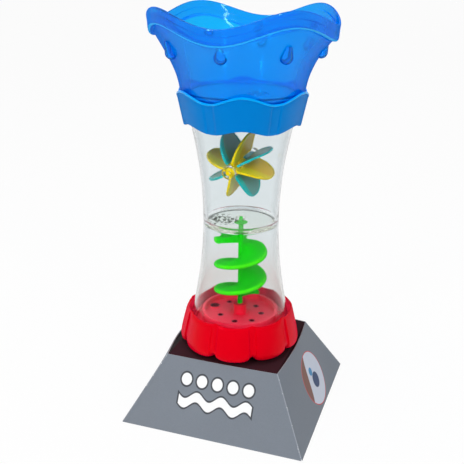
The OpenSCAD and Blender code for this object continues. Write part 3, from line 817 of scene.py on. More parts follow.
def side_picture(n, place, across, up):
    """Colour of the round picture: pale cloud, a slanted bank, a pool and a leaf."""
    swell = n.times(n.math("SINE", n.times(across, 310.0)), 0.002)
    bank = n.below(n.minus(n.minus(across, n.times(up, 0.5)), swell), -0.0125, 0.0004)
    pool = n.below(n.hypot(n.minus(across, 0.003), n.plus(up, 0.0035)), 0.0068, 0.0004)
    leaf = n.below(n.hypot(n.plus(across, 0.001), n.minus(up, 0.0065)), 0.0036, 0.0004)
    tone = n.mix(n.noise(place, 60.0, 3.0), (0.66, 0.69, 0.78), (0.55, 0.6, 0.7))
    for shape, colour in ((bank, (0.2, 0.09, 0.07)), (pool, (0.02, 0.05, 0.14)), (leaf, (0.05, 0.25, 0.5))):
        tone = n.mix(shape, tone, colour)
    return tone


@once("printed grey card")
def printed_card(name):
    """Grey satin card: white shapes in front, a round picture on the right, worn folds."""
    card, ink = colours().card, colours().ink
    line, side_face = 0.0013, 0.04
    picture_y, picture_z, picture_stretch, picture_radius, ring_radius = 0.0074, 0.0222, 1.138, 0.0225, 0.0232
    mat, n, shader, place = material(name)
    x, y, z = n.axes(place)
    cloud = n.noise(place, 14.0, 3.0)
    tone = n.mix(cloud, card, [v * 0.93 for v in card])
    tone = n.mix(n.times(n.noise(place, 900.0, 2.0, 0.7), 0.16), tone, (0.36, 0.38, 0.42))

    front = n.math("LESS_THAN", y, -side_face)
    shapes = front_print(n, x, z)
    tone = n.mix(n.times(n.below(shapes, line), front), tone, ink)
    tone = n.mix(n.times(n.below(shapes, 0.0), front), tone, (0.9, 0.9, 0.9))

    right = n.math("GREATER_THAN", x, side_face)
    across = n.minus(y, picture_y)
    up = n.times(n.minus(z, picture_z), picture_stretch)
    away = n.hypot(across, up)
    tone = n.mix(n.times(n.below(away, ring_radius), right), tone, (0.62, 0.04, 0.05))
    tone = n.mix(n.times(n.below(away, picture_radius), right), tone, side_picture(n, place, across, up))

    fold = n.absolute(n.minus(n.absolute(x), n.absolute(y)))
    chips = n.math("GREATER_THAN", n.noise(place, 300.0, 4.0, 0.7), 0.6)
    tone = n.mix(n.times(n.below(fold, 0.0005, 0.0003), 0.55), tone, (0.45, 0.47, 0.51))
    tone = n.mix(n.times(n.below(fold, 0.0006, 0.0003), chips), tone, (0.72, 0.74, 0.76))

    n.put(shader, Base_Color=tone, Roughness=n.plus(n.times(cloud, 0.14), 0.4), Specular_IOR_Level=0.25)
    n.bump(shader, n.noise(place, 700.0, 3.0, 0.6), 0.25, 0.0002)
    return mat


def plain_card(name, colour, other, gloss):
    """Card of one colour with fibres and soft patches."""
    mat, n, shader, place = material(name)
    fibres = n.noise(place, 1100.0, 4.0, 0.7)
    patches = n.noise(place, 30.0, 3.0)
    tone = n.mix(n.times(n.plus(fibres, patches), 0.5), colour, other)
    n.put(shader, Base_Color=tone, Roughness=n.plus(n.times(patches, 0.15), gloss), IOR=1.12)
    n.bump(shader, fibres, 0.3, 0.0002)
    return mat


@once("cut card edge")
def card_core(name):
    core = colours().card_core
    return plain_card(name, core, [v * 0.72 for v in core], 0.7)


@once("dark tray card")
def tray_card(name):
    tray = colours().tray
    return plain_card(name, tray, [v * 0.5 + 0.01 for v in tray], 0.6)


class Build:
    """What the operators share."""

    bl_options = {"REGISTER", "UNDO"}


# Stand

def square_ring(name, side, height, pieces):
    """A square loop of edges round the axis, each side in equal pieces."""
    settle()
    bpy.ops.mesh.primitive_plane_add(size=side, location=(0, 0, height))
    obj = named(name)
    apply_place()
    bpy.ops.object.mode_set(mode="EDIT")
    select_by("VERT")
    select_all()
    bpy.ops.mesh.delete(type="ONLY_FACE")
    select_all()
    bpy.ops.mesh.subdivide(number_cuts=pieces - 1)
    select_all()
    return obj


def shape_side(place):
    """Moves the selected loop's points sideways by what place gives for each, like points together."""
    bm = edit_mesh()
    ring = [v.index for v in bm.verts if v.select]
    moves = {}
    for i in ring:
        step = place(bm.verts[i].co)
        moves.setdefault(tuple(round(c, 6) for c in step), []).append(i)
    for step, members in moves.items():
        if any(step):
            select_indices(members)
            shift(step)
    select_indices(ring)


def stand_card(obj):
    """Grey printed outside, dark inside, pale cut edges."""
    flat, edge_slot, inside_slot = 0.7, 1, 2
    dress(obj, printed_card(), card_core(), tray_card())
    edit(obj)
    select_faces(lambda f: abs(f.normal.z) > flat)
    assign(obj, edge_slot)
    select_faces(lambda f: abs(f.normal.z) <= flat and f.normal.xy.dot(f.calc_center_median().xy) < 0)
    assign(obj, inside_slot)
    settle()


class SANDTOY_OT_stand_sleeve(Build, bpy.types.Operator):
    """Tapered card sleeve with bowed top edges, folded corners and printed sides"""

    bl_idname = "sandtoy.stand_sleeve"
    bl_label = "Stand sleeve"

    def execute(self, context):
        s = sizes()
        pieces, rows = 24, 12
        corner, late, near_ground = 0.0001, 1.6, 0.0003
        obj = square_ring("stand_sleeve_card", s.stand_base, 0, pieces)
        bows = {(0, -1): s.bow_front, (0, 1): s.bow_back, (-1, 0): s.bow_left, (1, 0): s.bow_right}

        def bow(co, share, before):
            wide, deep = abs(co.x), abs(co.y)
            if abs(wide - deep) < corner:
                return (0, 0, 0)
            side = (0, math.copysign(1, co.y)) if deep > wide else (math.copysign(1, co.x), 0)
            across = min(wide, deep) / max(wide, deep)
            shape = (1 - across ** 2) * (1 - 0.25 * across ** 2)
            step = bows[side] * shape * (share ** late - before ** late)
            return (side[0] * step, side[1] * step, 0)

        for row in range(1, rows + 1):
            share, before = row / rows, (row - 1) / rows
            side = s.stand_base + (s.stand_top - s.stand_base) * share
            last = s.stand_base + (s.stand_top - s.stand_base) * before
            bpy.ops.mesh.extrude_region_move(TRANSFORM_OT_translate={"value": (0, 0, s.stand_height / rows)})
            stretch((side / last, side / last, 1))
            shape_side(lambda co: bow(co, share, before))
        outward()
        settle()
        rounded(obj, 0.0009, 40, 3)
        add(obj, "card thickness", "SOLIDIFY", thickness=s.card, offset=-1.0, use_even_offset=True)
        edit(obj)
        select_by("VERT")
        select_where(lambda co: co.z < near_ground)
        stretch((1, 1, 0))
        settle()
        add(obj, "soft cut edges", "BEVEL", width=0.0001, segments=1, limit_method="ANGLE",
            angle_limit=math.radians(60))
        stand_card(obj)
        smooth(obj, 25)
        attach(obj, "stand")
        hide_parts("stand_sleeve")
        return {"FINISHED"}


class SANDTOY_OT_stand_tray(Build, bpy.types.Operator):
    """Dark card tray folded from a sheet, its top just inside the sleeve"""

    bl_idname = "sandtoy.stand_tray"
    bl_label = "Stand tray"

    def execute(self, context):
        s = sizes()
        slope = (s.stand_base - s.stand_top) / s.stand_height
        walls, play = 2.3, 0.0003
        at_top = s.stand_top + slope * (s.stand_height - s.tray_height) - walls * s.card - play
        settle()
        bpy.ops.mesh.primitive_plane_add(size=at_top, location=(0, 0, s.tray_height))
        obj = named("stand_tray_card")
        apply_place()
        bpy.ops.object.mode_set(mode="EDIT")
        select_by("EDGE")
        select_all()
        bpy.ops.mesh.extrude_edges_move(TRANSFORM_OT_translate={"value": (0, 0, -s.tray_skirt)})
        grow = (at_top + slope * s.tray_skirt) / at_top
        stretch((grow, grow, 1))
        outward()
        settle()
        rounded(obj, 0.0008, 30, 3)
        add(obj, "card thickness", "SOLIDIFY", thickness=s.card, offset=-1.0, use_even_offset=True)
        dress(obj, tray_card())
        smooth(obj, 25)
        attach(obj, "stand")
        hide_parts("stand_tray")
        return {"FINISHED"}


# Red base

class SANDTOY_OT_base_skirt(Build, bpy.types.Operator):
    """Red base with nine round lobes, flat strips between them and wavy edges"""

    bl_idname = "sandtoy.base_skirt"
    bl_label = "Red base"

    def execute(self, context):
        s = sizes()
        lobes, first = 9, 1.2
        foot_wave, top_wave = 0.0046, 0.002
        bulge = ((0, -0.34), (0.04, 0.22), (0.1, 0.74), (0.15, 0.96), (0.19, 1), (0.26, 0.99), (0.36, 0.92),
                 (0.5, 0.78), (0.65, 0.61), (0.8, 0.43), (0.92, 0.27), (0.975, 0.13), (1, 0.0))
        depth = ((0, 0.6), (0.05, 0.9), (0.12, 1), (0.72, 1), (0.88, 0.8), (0.96, 0.5), (1, 0.2))

        def crown(angle):
            return groove(abs(beside(angle, lobes, first)), 0.8, 0.83, 0.4)

        def height(angle, share):
            place = abs(beside(angle, lobes, first))
            low = foot_wave * place ** 4
            high = s.skirt_height + top_wave * place ** 3
            return s.skirt_foot + low + (high - low) * share

        def outside(share):
            radius = s.skirt_radius + s.skirt_belly * curve(bulge, share)
            deep = s.skirt_groove * curve(depth, share)
            return lambda angle: (radius - deep * crown(angle), height(angle, share))

        wall, foot_wall = 0.002, 0.0014
        hollow = s.skirt_radius + s.skirt_belly - s.skirt_groove - wall
        foot_in = s.skirt_radius - 0.38 * s.skirt_belly - s.skirt_groove * 0.6 - foot_wall
        pocket = s.skirt_pocket
        rows = [outside(share) for share in
                (1, 0.985, 0.965, 0.93, 0.88, 0.82, 0.75, 0.68, 0.6, 0.53, 0.46, 0.39, 0.32, 0.26, 0.2, 0.15,
                 0.1, 0.065, 0.035, 0.012, 0)]
        rows += [
            lambda angle: (foot_in + 0.0002, height(angle, 0.0)),
            lambda angle: (foot_in, height(angle, 0.02)),
            lambda angle: (hollow - 0.002, height(angle, 0.14)),
            lambda angle: (hollow, height(angle, 0.3)),
            level(hollow, s.flange_height - 0.0044),
            level(s.skirt_ledge, s.flange_height - 0.002),
            level(s.skirt_ledge, s.flange_height),
            level(pocket, s.flange_height),
            lambda angle: (pocket, height(angle, 1) - 0.0016),
            lambda angle: (pocket + 0.0003, height(angle, 1) - 0.0003),
            lambda angle: (pocket + 0.0006, height(angle, 1)),
        ]
        obj = ring_shell("base_skirt_shell", 360, first, rows)
        settle()
        dress(obj, red_plastic(), red_inside_painted_light())
        edit(obj)

        # Faces inside the pocket, which get the lighter red of painted light.
        def inside(f):
            co = f.calc_center_median()
            above = co.z > s.skirt_foot + 0.01 and f.normal.z > -0.5
            return above and math.hypot(co.x, co.y) < pocket + 0.0002
        select_faces(inside)
        assign(obj, 1)
        settle()
        smooth(obj, 38)
        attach(obj, "toy")
        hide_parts("base_skirt")
        return {"FINISHED"}


# Clear tube

def tube_radius(z):
    """Outer radius of the hourglass at a height."""
    s = sizes()
    flare = 1.95
    if z < s.waist_height:
        end, widest = s.tube_foot_height + s.tube_straight, s.tube_foot
    else:
        end, widest = s.neck_low, s.tube_neck
    share = min(1, (z - s.waist_height) / (end - s.waist_height))
    return s.tube_waist + (widest - s.tube_waist) * share ** flare


def tube_inside(z):
    """Inner radius, eased inwards where the wall grips the sieve disc."""
    s = sizes()
    grip_height, reach, play = s.joint_height + 0.001, 0.006, 0.0003
    near = max(0, 1 - abs(z - grip_height) / reach)
    plain = tube_radius(z) - s.tube_wall
    return plain + (s.disc_radius + play - plain) * near * near * (3 - 2 * near)


def lap_top():
    """Height where the sloping joint of the two halves comes out inside."""
    return sizes().joint_height + 0.0045


def rod_across(name, radius, depth, middle, sides):
    """A round rod along the wheel's axle, its middle at a distance from the toy's axis."""
    settle()
    place = (0, middle, sizes().wheel_height)
    bpy.ops.mesh.primitive_cylinder_add(vertices=sides, radius=radius, depth=depth, location=place,
                                        rotation=(math.pi / 2, 0, 0))
    return named(name)


class SANDTOY_OT_tube_lower(Build, bpy.types.Operator):
    """Lower half of the clear hourglass tube"""

    bl_idname = "sandtoy.tube_lower"
    bl_label = "Lower tube"

    def execute(self, context):
        s = sizes()
        low, wall = s.tube_foot_height, s.tube_wall
        heights = steps(30, low + s.tube_straight, s.joint_height - 0.0004)
        lap, lap_radius = lap_top(), tube_inside(lap_top())
        outside = [(s.tube_foot - 0.0004, low), (s.tube_foot, low + 0.0004)]
        outside += [(tube_radius(z), z) for z in heights]
        outside.append((tube_radius(s.joint_height) - 0.0001, s.joint_height - 0.00005))
        inside = [(lap_radius + 0.0001, lap - 0.00005), (lap_radius, lap - 0.0002)]
        inside += [(tube_inside(z), z) for z in reversed(heights + steps(4, s.joint_height, lap - 0.001))]
        inside += [(s.tube_foot - wall, low + 0.0004), (s.tube_foot - wall + 0.0004, low)]
        obj = turned("tube_lower_shell", outside + inside, 144)
        settle()
        dress(obj, clear_plastic())
        smooth(obj, 30)
        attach(obj, "toy")
        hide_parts("lower_tube")
        return {"FINISHED"}


class SANDTOY_OT_tube_upper(Build, bpy.types.Operator):
    """Upper half of the clear hourglass tube with its lip, its bosses and the axle's bores"""

    bl_idname = "sandtoy.tube_upper"
    bl_label = "Upper tube"

    def execute(self, context):
        s = sizes()
        wall = s.tube_wall
        heights = steps(30, s.joint_height + 0.0002, s.neck_low)
        top = s.neck_height
        outside = [(tube_radius(s.joint_height) - 0.0001, s.joint_height)]
        outside += [(tube_radius(z), z) for z in heights]
        lip = s.tube_neck + 0.0015
        outside += [(s.tube_neck, top - 0.002), (lip - 0.0003, top - 0.002), (lip, top - 0.0017),
                    (lip, top - 0.0003), (lip - 0.0003, top), (s.tube_neck - wall + 0.0004, top),
                    (s.tube_neck - wall, top - 0.0004)]
        lap, lap_radius = lap_top(), tube_inside(lap_top())
        inside = [(tube_inside(z), z) for z in reversed(heights) if z > lap + 0.0006]
        inside += [(lap_radius, lap + 0.0003), (lap_radius + 0.0001, lap)]
        obj = turned("tube_upper_shell", outside + inside, 144)
        settle()
        reach = tube_radius(s.wheel_height)
        for side, name in ((-1, "front boss"), (1, "back boss")):
            middle = side * (s.boss_face + reach - wall / 2) / 2
            tool = rod_across(name, s.boss_radius, reach - wall / 2 - s.boss_face, middle, 48)
            rounded(tool, 0.0004, 50, 2)
            cut(obj, tool, "UNION")
        for side, depth, name in ((-1, reach + 0.001, "front bore"), (1, reach - wall / 2, "back bore")):
            tool = rod_across(name, s.axle_radius + 0.00006, depth, side * depth / 2, 40)
            cut(obj, tool, "DIFFERENCE")
        dress(obj, clear_plastic())
        smooth(obj, 30)
        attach(obj, "toy")
        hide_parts("upper_tube")
        return {"FINISHED"}


# Collar and funnel

class SANDTOY_OT_collar(Build, bpy.types.Operator):
    """Solid blue collar with six lobes, wavy edges and a rolled lip"""

    bl_idname = "sandtoy.collar"
    bl_label = "Blue collar"

    def execute(self, context):
        s = sizes()
        lobes, first = 6, -12

        def crown(angle):
            return groove(abs(beside(angle, lobes, first)), 0.83, 0.85, 0.45)

        def wave(angle):
            return math.sin(math.pi / 2 * beside(angle, lobes, first)) ** 2

        def high(angle):
            return s.collar_top - s.collar_high_dip * wave(angle)

        def low(angle):
            return s.collar_top - s.collar_height - s.collar_low_dip * wave(angle)

        def out(angle, z):
            return (s.collar_radius - s.collar_taper * (s.collar_top - z) / s.collar_height
                    - s.collar_groove * crown(angle))

        def side(share, inset=0.0):
            def place(angle):
                z = low(angle) + (high(angle) - low(angle)) * share
                return out(angle, z) - inset, z
            return place

        def rim(drop, inset):
            return lambda angle: (out(angle, high(angle)) - inset, high(angle) - drop)

        ledge = s.tube_neck + 0.0003
        wall = 0.0018
        wall_foot = s.spigot_foot - 0.004
        rows = [rim(0, 0.0009), rim(0.0001, 0.0003), rim(0.0005, -0.0001), rim(0.0011, -0.0001),
                rim(0.0016, 0.0002), rim(0.002, 0.0006)]
        rows += [side(share) for share in (0.9, 0.78, 0.64, 0.5, 0.36, 0.22, 0.1, 0.04)]
        rows += [side(0.012, 0.0002), side(0, 0.0007)]
        rows += [
            lambda angle: (out(angle, low(angle)) - 0.0018, low(angle)),
            lambda angle: (out(angle, low(angle)) - 0.0024, low(angle) + 0.0003),
            lambda angle: (out(angle, wall_foot) - wall, wall_foot),
            level(ledge, s.spigot_foot - 0.002),
            level(ledge, s.spigot_foot),
            level(s.collar_pocket, s.spigot_foot),
            level(s.collar_pocket, s.spigot_foot + 0.002),
            lambda angle: (s.collar_pocket + 0.0022, high(angle) - 0.005),
            rim(0.001, 0.0019),
            rim(0.0003, 0.0015),
        ]
        obj = ring_shell("collar_shell", 360, first, rows)
        settle()
        dress(obj, collar_plastic(), collar_lip_highlight())
        edit(obj)

        # Faces along the top lip, which get the painted highlight.
        def on_lip_highlight(f):
            co = f.calc_center_median()
            angle = math.degrees(math.atan2(co.y, co.x))
            return co.z > high(angle) - 0.0015 and math.hypot(co.x, co.y) > out(angle, high(angle)) - 0.0012
        select_faces(on_lip_highlight)
        assign(obj, 1)
        smooth(obj, 30)
        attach(obj, "toy")
        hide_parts("collar")
        return {"FINISHED"}


def half_capsule(name, radius, low, high, ring, angle, tip, lean, behind=None):
    """A rod beside the funnel's wall, its lower end a half ball, its upper end leaning out.
    What lies behind a plane given by a radius and a slope can be cut away."""
    settle()
    bpy.ops.mesh.primitive_uv_sphere_add(segments=32, ring_count=16, radius=radius,
                                         location=(ring, 0, low + radius))
    obj = named(name)
    apply_place()
    edit(obj)
    select_all()
    bpy.ops.mesh.bisect(plane_co=(0, 0, low + radius), plane_no=(0, 0, 1), clear_outer=True)
    select_where(lambda co: co.z > low + radius - 1e-5)
    bpy.ops.mesh.extrude_region_move(TRANSFORM_OT_translate={"value": (0, 0, high - low - radius)})
    stretch((tip, tip, 1), (ring, 0, high))
    shift((lean, 0, 0))
    bpy.ops.mesh.edge_face_add()
    if behind:
        radius_there, slope = behind
        select_all()
        bpy.ops.mesh.bisect(plane_co=(radius_there, 0, low), plane_no=(1, 0, -slope), use_fill=True,
                            clear_inner=True)
    outward()
    place_mesh(obj, rotation=(0, 0, math.radians(angle)))
    return obj


class SANDTOY_OT_funnel(Build, bpy.types.Operator):
    """See-through blue funnel with a wavy rim, a stepped band and eight drop-shaped bumps"""

    bl_idname = "sandtoy.funnel"
    bl_label = "Funnel"

    def execute(self, context):
        s = sizes()
        waves, peak = 4, 48
        wall, rim, calm = s.funnel_wall, s.rim_radius, 0.45
        growth = ((0, 0), (0.05, 0.024), (0.17, 0.077), (0.3, 0.162), (0.43, 0.287), (0.56, 0.436),
                  (0.68, 0.596), (0.8, 0.755), (0.9, 0.885), (1, 1))
        wall_top = rim - s.band_step

        def crest(angle):
            return s.rim_height + s.rim_wave * math.cos(math.radians(waves * (angle - peak)))

        def band(radius, share, lift=0.0):
            return lambda angle: (radius, crest(angle) - s.band_height * (1 - share) + lift)

        def side(share, inset=0.0):
            radius = s.funnel_low + (wall_top - s.funnel_low) * curve(growth, share)
            middle = s.rim_height - s.band_height
            plain = s.flow_height + (middle - s.flow_height) * share
            swell = max(0, (share - calm) / (1 - calm)) ** 2
            return lambda angle: (radius - inset, plain + (crest(angle) - s.rim_height) * swell)

        plate = s.spigot_bore - 0.0023
        rows = [band(rim - inset, share) for inset, share in
                ((0.0009, 1), (0.0004, 0.985), (0.0001, 0.955), (0, 0.9), (0.0001, 0.8), (0.0003, 0.66),
                 (0.0005, 0.5), (0.0006, 0.34), (0.0007, 0.2), (0.0009, 0.09), (0.0012, 0.03), (0.0018, 0),
                 (0.0026, 0))]
        rows += [side(share) for share in
                 (1, 0.985, 0.95, 0.9, 0.85, 0.8, 0.74, 0.68, 0.62, 0.56, 0.5, 0.43, 0.36, 0.3, 0.24, 0.17,
                  0.1, 0.05, 0.015)]
        rows += [level(s.funnel_low, s.flow_height), level(s.spigot, s.neck_height),
                 level(s.spigot, s.spigot_foot + 0.0003), level(s.spigot - 0.0003, s.spigot_foot),
                 level(s.spigot_bore + 0.0003, s.spigot_foot), level(s.spigot_bore, s.spigot_foot + 0.0003),
                 level(s.spigot_bore, s.flow_height), level(plate, s.flow_height),
                 level(plate, s.flow_height + 0.0009), level(plate + 0.0009, s.flow_height + wall)]
        rows += [side(share, wall) for share in
                 (0.06, 0.12, 0.18, 0.24, 0.3, 0.36, 0.43, 0.5, 0.56, 0.62, 0.68, 0.74, 0.8, 0.86, 0.92,
                  0.97)]
        rows += [band(wall_top - wall, 0, wall), band(rim - wall * 2.2, 0, wall)]
        rows += [band(rim - wall * walls, share) for walls, share in
                 ((2.05, 0.2), (2, 0.5), (1.85, 0.54), (1.3, 0.555), (1.15, 0.6), (1, 0.92), (0.9, 0.975),
                  (0.7, 0.995))]
        obj = ring_shell("funnel_shell", 180, 0, rows)
        settle()
        blues = funnel_plastic(), band_plastic(), band_lip_highlight(), drop_plastic()
        wall_slot, band_slot, lip_highlight_slot, drop_slot = range(4)
        drop_wall, drop_tall, drop_tip, drop_lean = 0.0015, 0.012, 0.5, 0.0028
        behind_radius, behind_less, behind_slope = 0.0553, 0.0008, 0.53
        dress(obj, *blues)
        for inset, shrink, slot, operation in ((0, 0, drop_slot, "UNION"),
                                               (drop_wall, 0.0001, wall_slot, "DIFFERENCE")):
            drops = []
            for k in range(8):
                behind = None if inset else (behind_radius - behind_less * (k % 2), behind_slope)
                drops.append(half_capsule(
                    f"drop_{k}", s.drop_radius - inset, s.drop_low + inset, s.drop_low + drop_tall,
                    s.drop_ring - shrink, 3 + 45 * k, drop_tip, drop_lean, behind))
            tool = joined("drops", drops)
            dress(tool, *blues)
            edit(tool)
            select_all()
            assign(tool, slot)
            cut(obj, tool, operation)
        edit(obj)
        outward()

        def in_band(high, inner):
            def test(f):
                co = f.calc_center_median()
                low = crest(math.degrees(math.atan2(co.y, co.x))) - s.band_height
                return math.hypot(co.x, co.y) > rim - inner and -0.0002 < co.z - low < high
            return test
        # The band gets its deeper blue, and the faces along its lower lip get the painted highlight.
        for slot, high, inner in ((band_slot, 1.0, wall * 2.3), (lip_highlight_slot, s.band_height * 0.08, 0.003)):
            select_faces(in_band(high, inner))
            assign(obj, slot)
        settle()
        smooth(obj, 34)
        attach(obj, "toy")
        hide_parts("funnel")
        return {"FINISHED"}


# Petal wheel

def petal_sheet(name, s, side, face, rim_and_painted_light_finish, front):
    """One petal along +X: a grid drawn out to a broad round outline, cupped, with a thicker edge.
    Its root stays clear of the hub's other half."""
    settle()
    columns = 16
    bpy.ops.mesh.primitive_grid_add(x_subdivisions=columns, y_subdivisions=18, size=2)
    obj = named(name)
    bpy.ops.object.mode_set(mode="EDIT")
    select_by("VERT")
    half, radius, round_out = s.petal_half, s.wheel_radius, 1.2
    outline = [(s.nose_radius - 0.0004, half - 0.0028), (s.nose_radius + 0.0006, half - 0.001),
               (s.nose_radius + 0.0026, half - 0.0001)]
    first = math.asin(((s.nose_radius + 0.0052) / radius) ** round_out)
    for t in steps(columns - 2, first, math.radians(84.5)):
        outline.append((radius * math.sin(t) ** (1 / round_out), half * math.cos(t) ** (1 / round_out)))
    for k, (along, wide) in enumerate(outline):
        at = -1 + 2 * k / columns
        select_where(lambda co: abs(co.x - at) < 1e-4 and abs(co.z) < 1e-6)
        stretch((1, wide, 1))
        rise = s.petal_cup * (1 - ((along - radius / 2) / (radius / 2)) ** 2)
        shift((along - at, -s.petal_shift, rise - 1))
    select_all()
    shift((0, 0, 1))
    for k, clear in ((0, 0.0006), (1, 0.001)):
        at = outline[k][0]
        select_where(lambda co: abs(co.x - at) < 1e-5 and co.y * side > -0.0027)
        shift((s.hub_radius + clear - at, 0, 0))
    outward()
    select_by("FACE")
    select_all()
    bpy.ops.mesh.inset(thickness=0.0022, depth=0, use_boundary=True)
    # Faces get the darker copy of the plastic as painted shade; the inset edge keeps the plain plastic.
    dress(obj, face, rim_and_painted_light_finish)
    bpy.ops.mesh.select_all(action="INVERT")
    assign(obj, 1)

    # Painted light: the front part of each petal, a share of its width given by front, also gets the bright
    # plastic.
    def painted_lit_front(f):
        co = f.calc_center_median()
        wide = half * max(0.0, 1 - (min(co.x, radius) / radius) ** (2 * round_out)) ** (0.5 / round_out)
        return co.y + s.petal_shift < -front * wide
    select_faces(painted_lit_front)
    assign(obj, 1)
    select_by("VERT")
    select_none()
    bpy.ops.mesh.select_non_manifold(extend=False)
    rim = obj.vertex_groups.new(name="rim")
    obj.vertex_groups.active = rim
    bpy.context.scene.tool_settings.vertex_group_weight = 1.0
    bpy.ops.object.vertex_group_assign()
    settle()
    add(obj, "petal thickness", "SOLIDIFY", thickness=s.petal_sheet, offset=0.0, vertex_group="rim",
        thickness_vertex_group=0.38)
    add(obj, "soft petal", "SUBSURF", levels=1, render_levels=1)
    edit(obj)
    outward()
    settle()
    return obj


def hub_half(name, s):
    """One half of the hub with its nose, bored for the axle, standing along +Z."""
    gap, bore, end = 0.00015, s.axle_radius + 0.00003, s.nose_end
    hub, nose, half = s.hub_radius, s.nose_radius, s.hub_half
    return turned(name, [
        (bore, gap), (hub - 0.0004, gap), (hub, gap + 0.0004), (hub, half - 0.0008),
        (hub - 0.0003, half - 0.0002), (hub - 0.0009, half), (nose + 0.0003, half), (nose, half + 0.0003),
        (nose, end - 0.0006), (nose - 0.0002, end - 0.0002), (nose - 0.0006, end), (bore, end)], 48)


def petal_set(name, side, first, face, finish, front, node):
    """Four petals on one half of the hub, the first at an angle above the level."""
    s = sizes()
    first_petal = petal_sheet("petal", s, side, face, finish, front)
    petals = [first_petal] + [copy_of(first_petal, "petal") for _ in range(3)]
    for k, petal in enumerate(petals):
        place_mesh(petal, rotation=(0, -first - k * math.pi / 2, 0))
    obj = joined(name, petals)
    hub = hub_half("hub", s)
    dress(hub, finish)
    place_mesh(hub, rotation=(side * math.pi / 2, 0, 0))
    obj = joined(name, [obj, hub])
    place_mesh(obj, location=(0, 0, s.wheel_height))
    smooth(obj, 40)
    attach(obj, "petal_wheel")
    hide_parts(node)
    return obj


class SANDTOY_OT_petal_wheel(Build, bpy.types.Operator):
    """Four yellow and four teal petals, each set on its own half of the hub"""

    bl_idname = "sandtoy.petal_wheel"
    bl_label = "Petal wheel"

    def execute(self, context):
        s = sizes()
        # The last number is the share of each petal's front that gets the bright plastic as painted light.
        petal_set("petals_yellow", 1, s.wheel_turn, yellow_face_shaded(), yellow_plastic(), 0.35,
                  "yellow_petals")
        petal_set("petals_teal", -1, s.wheel_turn + math.pi / 4, teal_face_shaded(), teal_plastic(), 0.68,
                  "teal_petals")
        return {"FINISHED"}


# Spiral

class SANDTOY_OT_spiral(Build, bpy.types.Operator):
    """Green screw-shaped blade with a thick drooping rim on a turned shaft"""

    bl_idname = "sandtoy.spiral"
    bl_label = "Spiral"

    def execute(self, context):
        s = sizes()
        upper = ((0.05, 0.6), (0.3, 0.58), (0.55, 0.58), (0.74, 0.6), (0.83, 0.7), (0.88, 0.88), (0.92, 0.97),
                 (0.955, 0.9), (0.985, 0.6), (1.0, 0.15))
        section = [*upper, *((p, -q) for p, q in reversed(upper))]
        points = [(p * s.blade_radius, q * s.blade_rim / 2 - s.blade_droop * p * p) for p, q in section]
        rise = s.blade_top - s.blade_low
        turns = rise / s.blade_pitch
        count = math.ceil(72 * turns)
        whole = 2 * math.pi * turns
        blade = draw_line("blade", points)
        select_indices([0, len(points) - 1])
        bpy.ops.mesh.edge_face_add()
        settle()
        add(blade, "screw", "SCREW", axis="Z", angle=whole, screw_offset=rise, steps=count,
            render_steps=count, use_smooth_shade=False)
        edit(blade)

        def section_at(angle):
            """Places of the points in the blade's section at an angle, by number."""
            height = rise * angle / whole
            return {v.index: v.co.copy() for v in edit_mesh().verts
                    if math.hypot(v.co.x, v.co.y) > 0.0004
                    and abs(math.remainder(math.atan2(v.co.y, v.co.x) - angle, 2 * math.pi)) < 0.01
                    and abs(v.co.z - height) < s.blade_pitch / 2}

        for start, way in ((0, 1), (whole, -1)):
            select_by("VERT")
            select_none()
            bpy.ops.mesh.select_non_manifold(extend=False)
            bm = edit_mesh()
            ring = [v.index for v in bm.verts if v.select]
            if way == 1:
                ring = [i for i in ring if abs(math.atan2(bm.verts[i].co.y, bm.verts[i].co.x)) < 0.01]
            select_indices(ring)
            bpy.ops.mesh.edge_face_add()
            for far, shrink in ((0, 0.95), (1, 0.985), (2, 0.997)):
                select_indices(section_at(start + way * far * whole / count))
                stretch((shrink, shrink, 1))

        levelled, sink, half_rim, half_web = 9, 0.0033, 0.0012, 0.0021
        for far in range(levelled):
            angle = whole - far * whole / count
            height = rise * angle / whole
            groups = {}
            for i, co in section_at(angle).items():
                away = math.hypot(co.x, co.y)
                hang = s.blade_droop * (away / s.blade_radius) ** 2
                side = 1 if co.z - height + hang > 0 else -1
                groups.setdefault((round(away, 5), side), []).append(i)
            for (away, side), group in groups.items():
                hang = s.blade_droop * (away / s.blade_radius) ** 2
                half = half_rim if away > 0.86 * s.blade_radius else half_web
                select_indices(group)
                shift((0, 0, (hang + side * half - sink) * (1 - far / levelled)))
        outward()
        settle()
        rounded(blade, 0.0008, 70, 2)
        place_mesh(blade, rotation=(0, 0, s.blade_turn - whole), location=(0, 0, s.blade_low))
        stop = s.joint_height - 0.0003
        shaft, foot, disc, pin, pin_end = s.shaft_radius, s.shaft_low, 0.0053, 0.0015, stop + 0.0048
        rod = turned("shaft", [
            (0, foot), (shaft - 0.0004, foot), (shaft, foot + 0.0004), (shaft, stop - 0.0018),
            (shaft + 0.0006, stop - 0.0012), (disc - 0.0003, stop - 0.0012), (disc, stop - 0.0009),
            (disc, stop - 0.0003), (disc - 0.0003, stop), (pin, stop), (pin, pin_end - 0.0004),
            (pin - 0.0003, pin_end), (0, pin_end)], 48, closed=False)
        obj = joined("spiral_screw_green", [blade, rod])
        dress(obj, green_plastic())
        smooth(obj, 40)
        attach(obj, "spiral_screw")
        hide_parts("spiral")
        return {"FINISHED"}


class SANDTOY_OT_inner_parts(Build, bpy.types.Operator):
    """Finish of the base's floor, the sieve disc, the flow plate and the axle"""

    bl_idname = "sandtoy.inner_parts"
    bl_label = "Inner parts"

    def execute(self, context):
        for name, finish in (("base_floor", floor_plastic()), ("sieve_disc", sieve_plastic()),
                             ("flow_plate", plate_plastic()), ("wheel_axle", yellow_plastic())):
            dress(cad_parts[name], finish)
        return {"FINISHED"}


# Stage

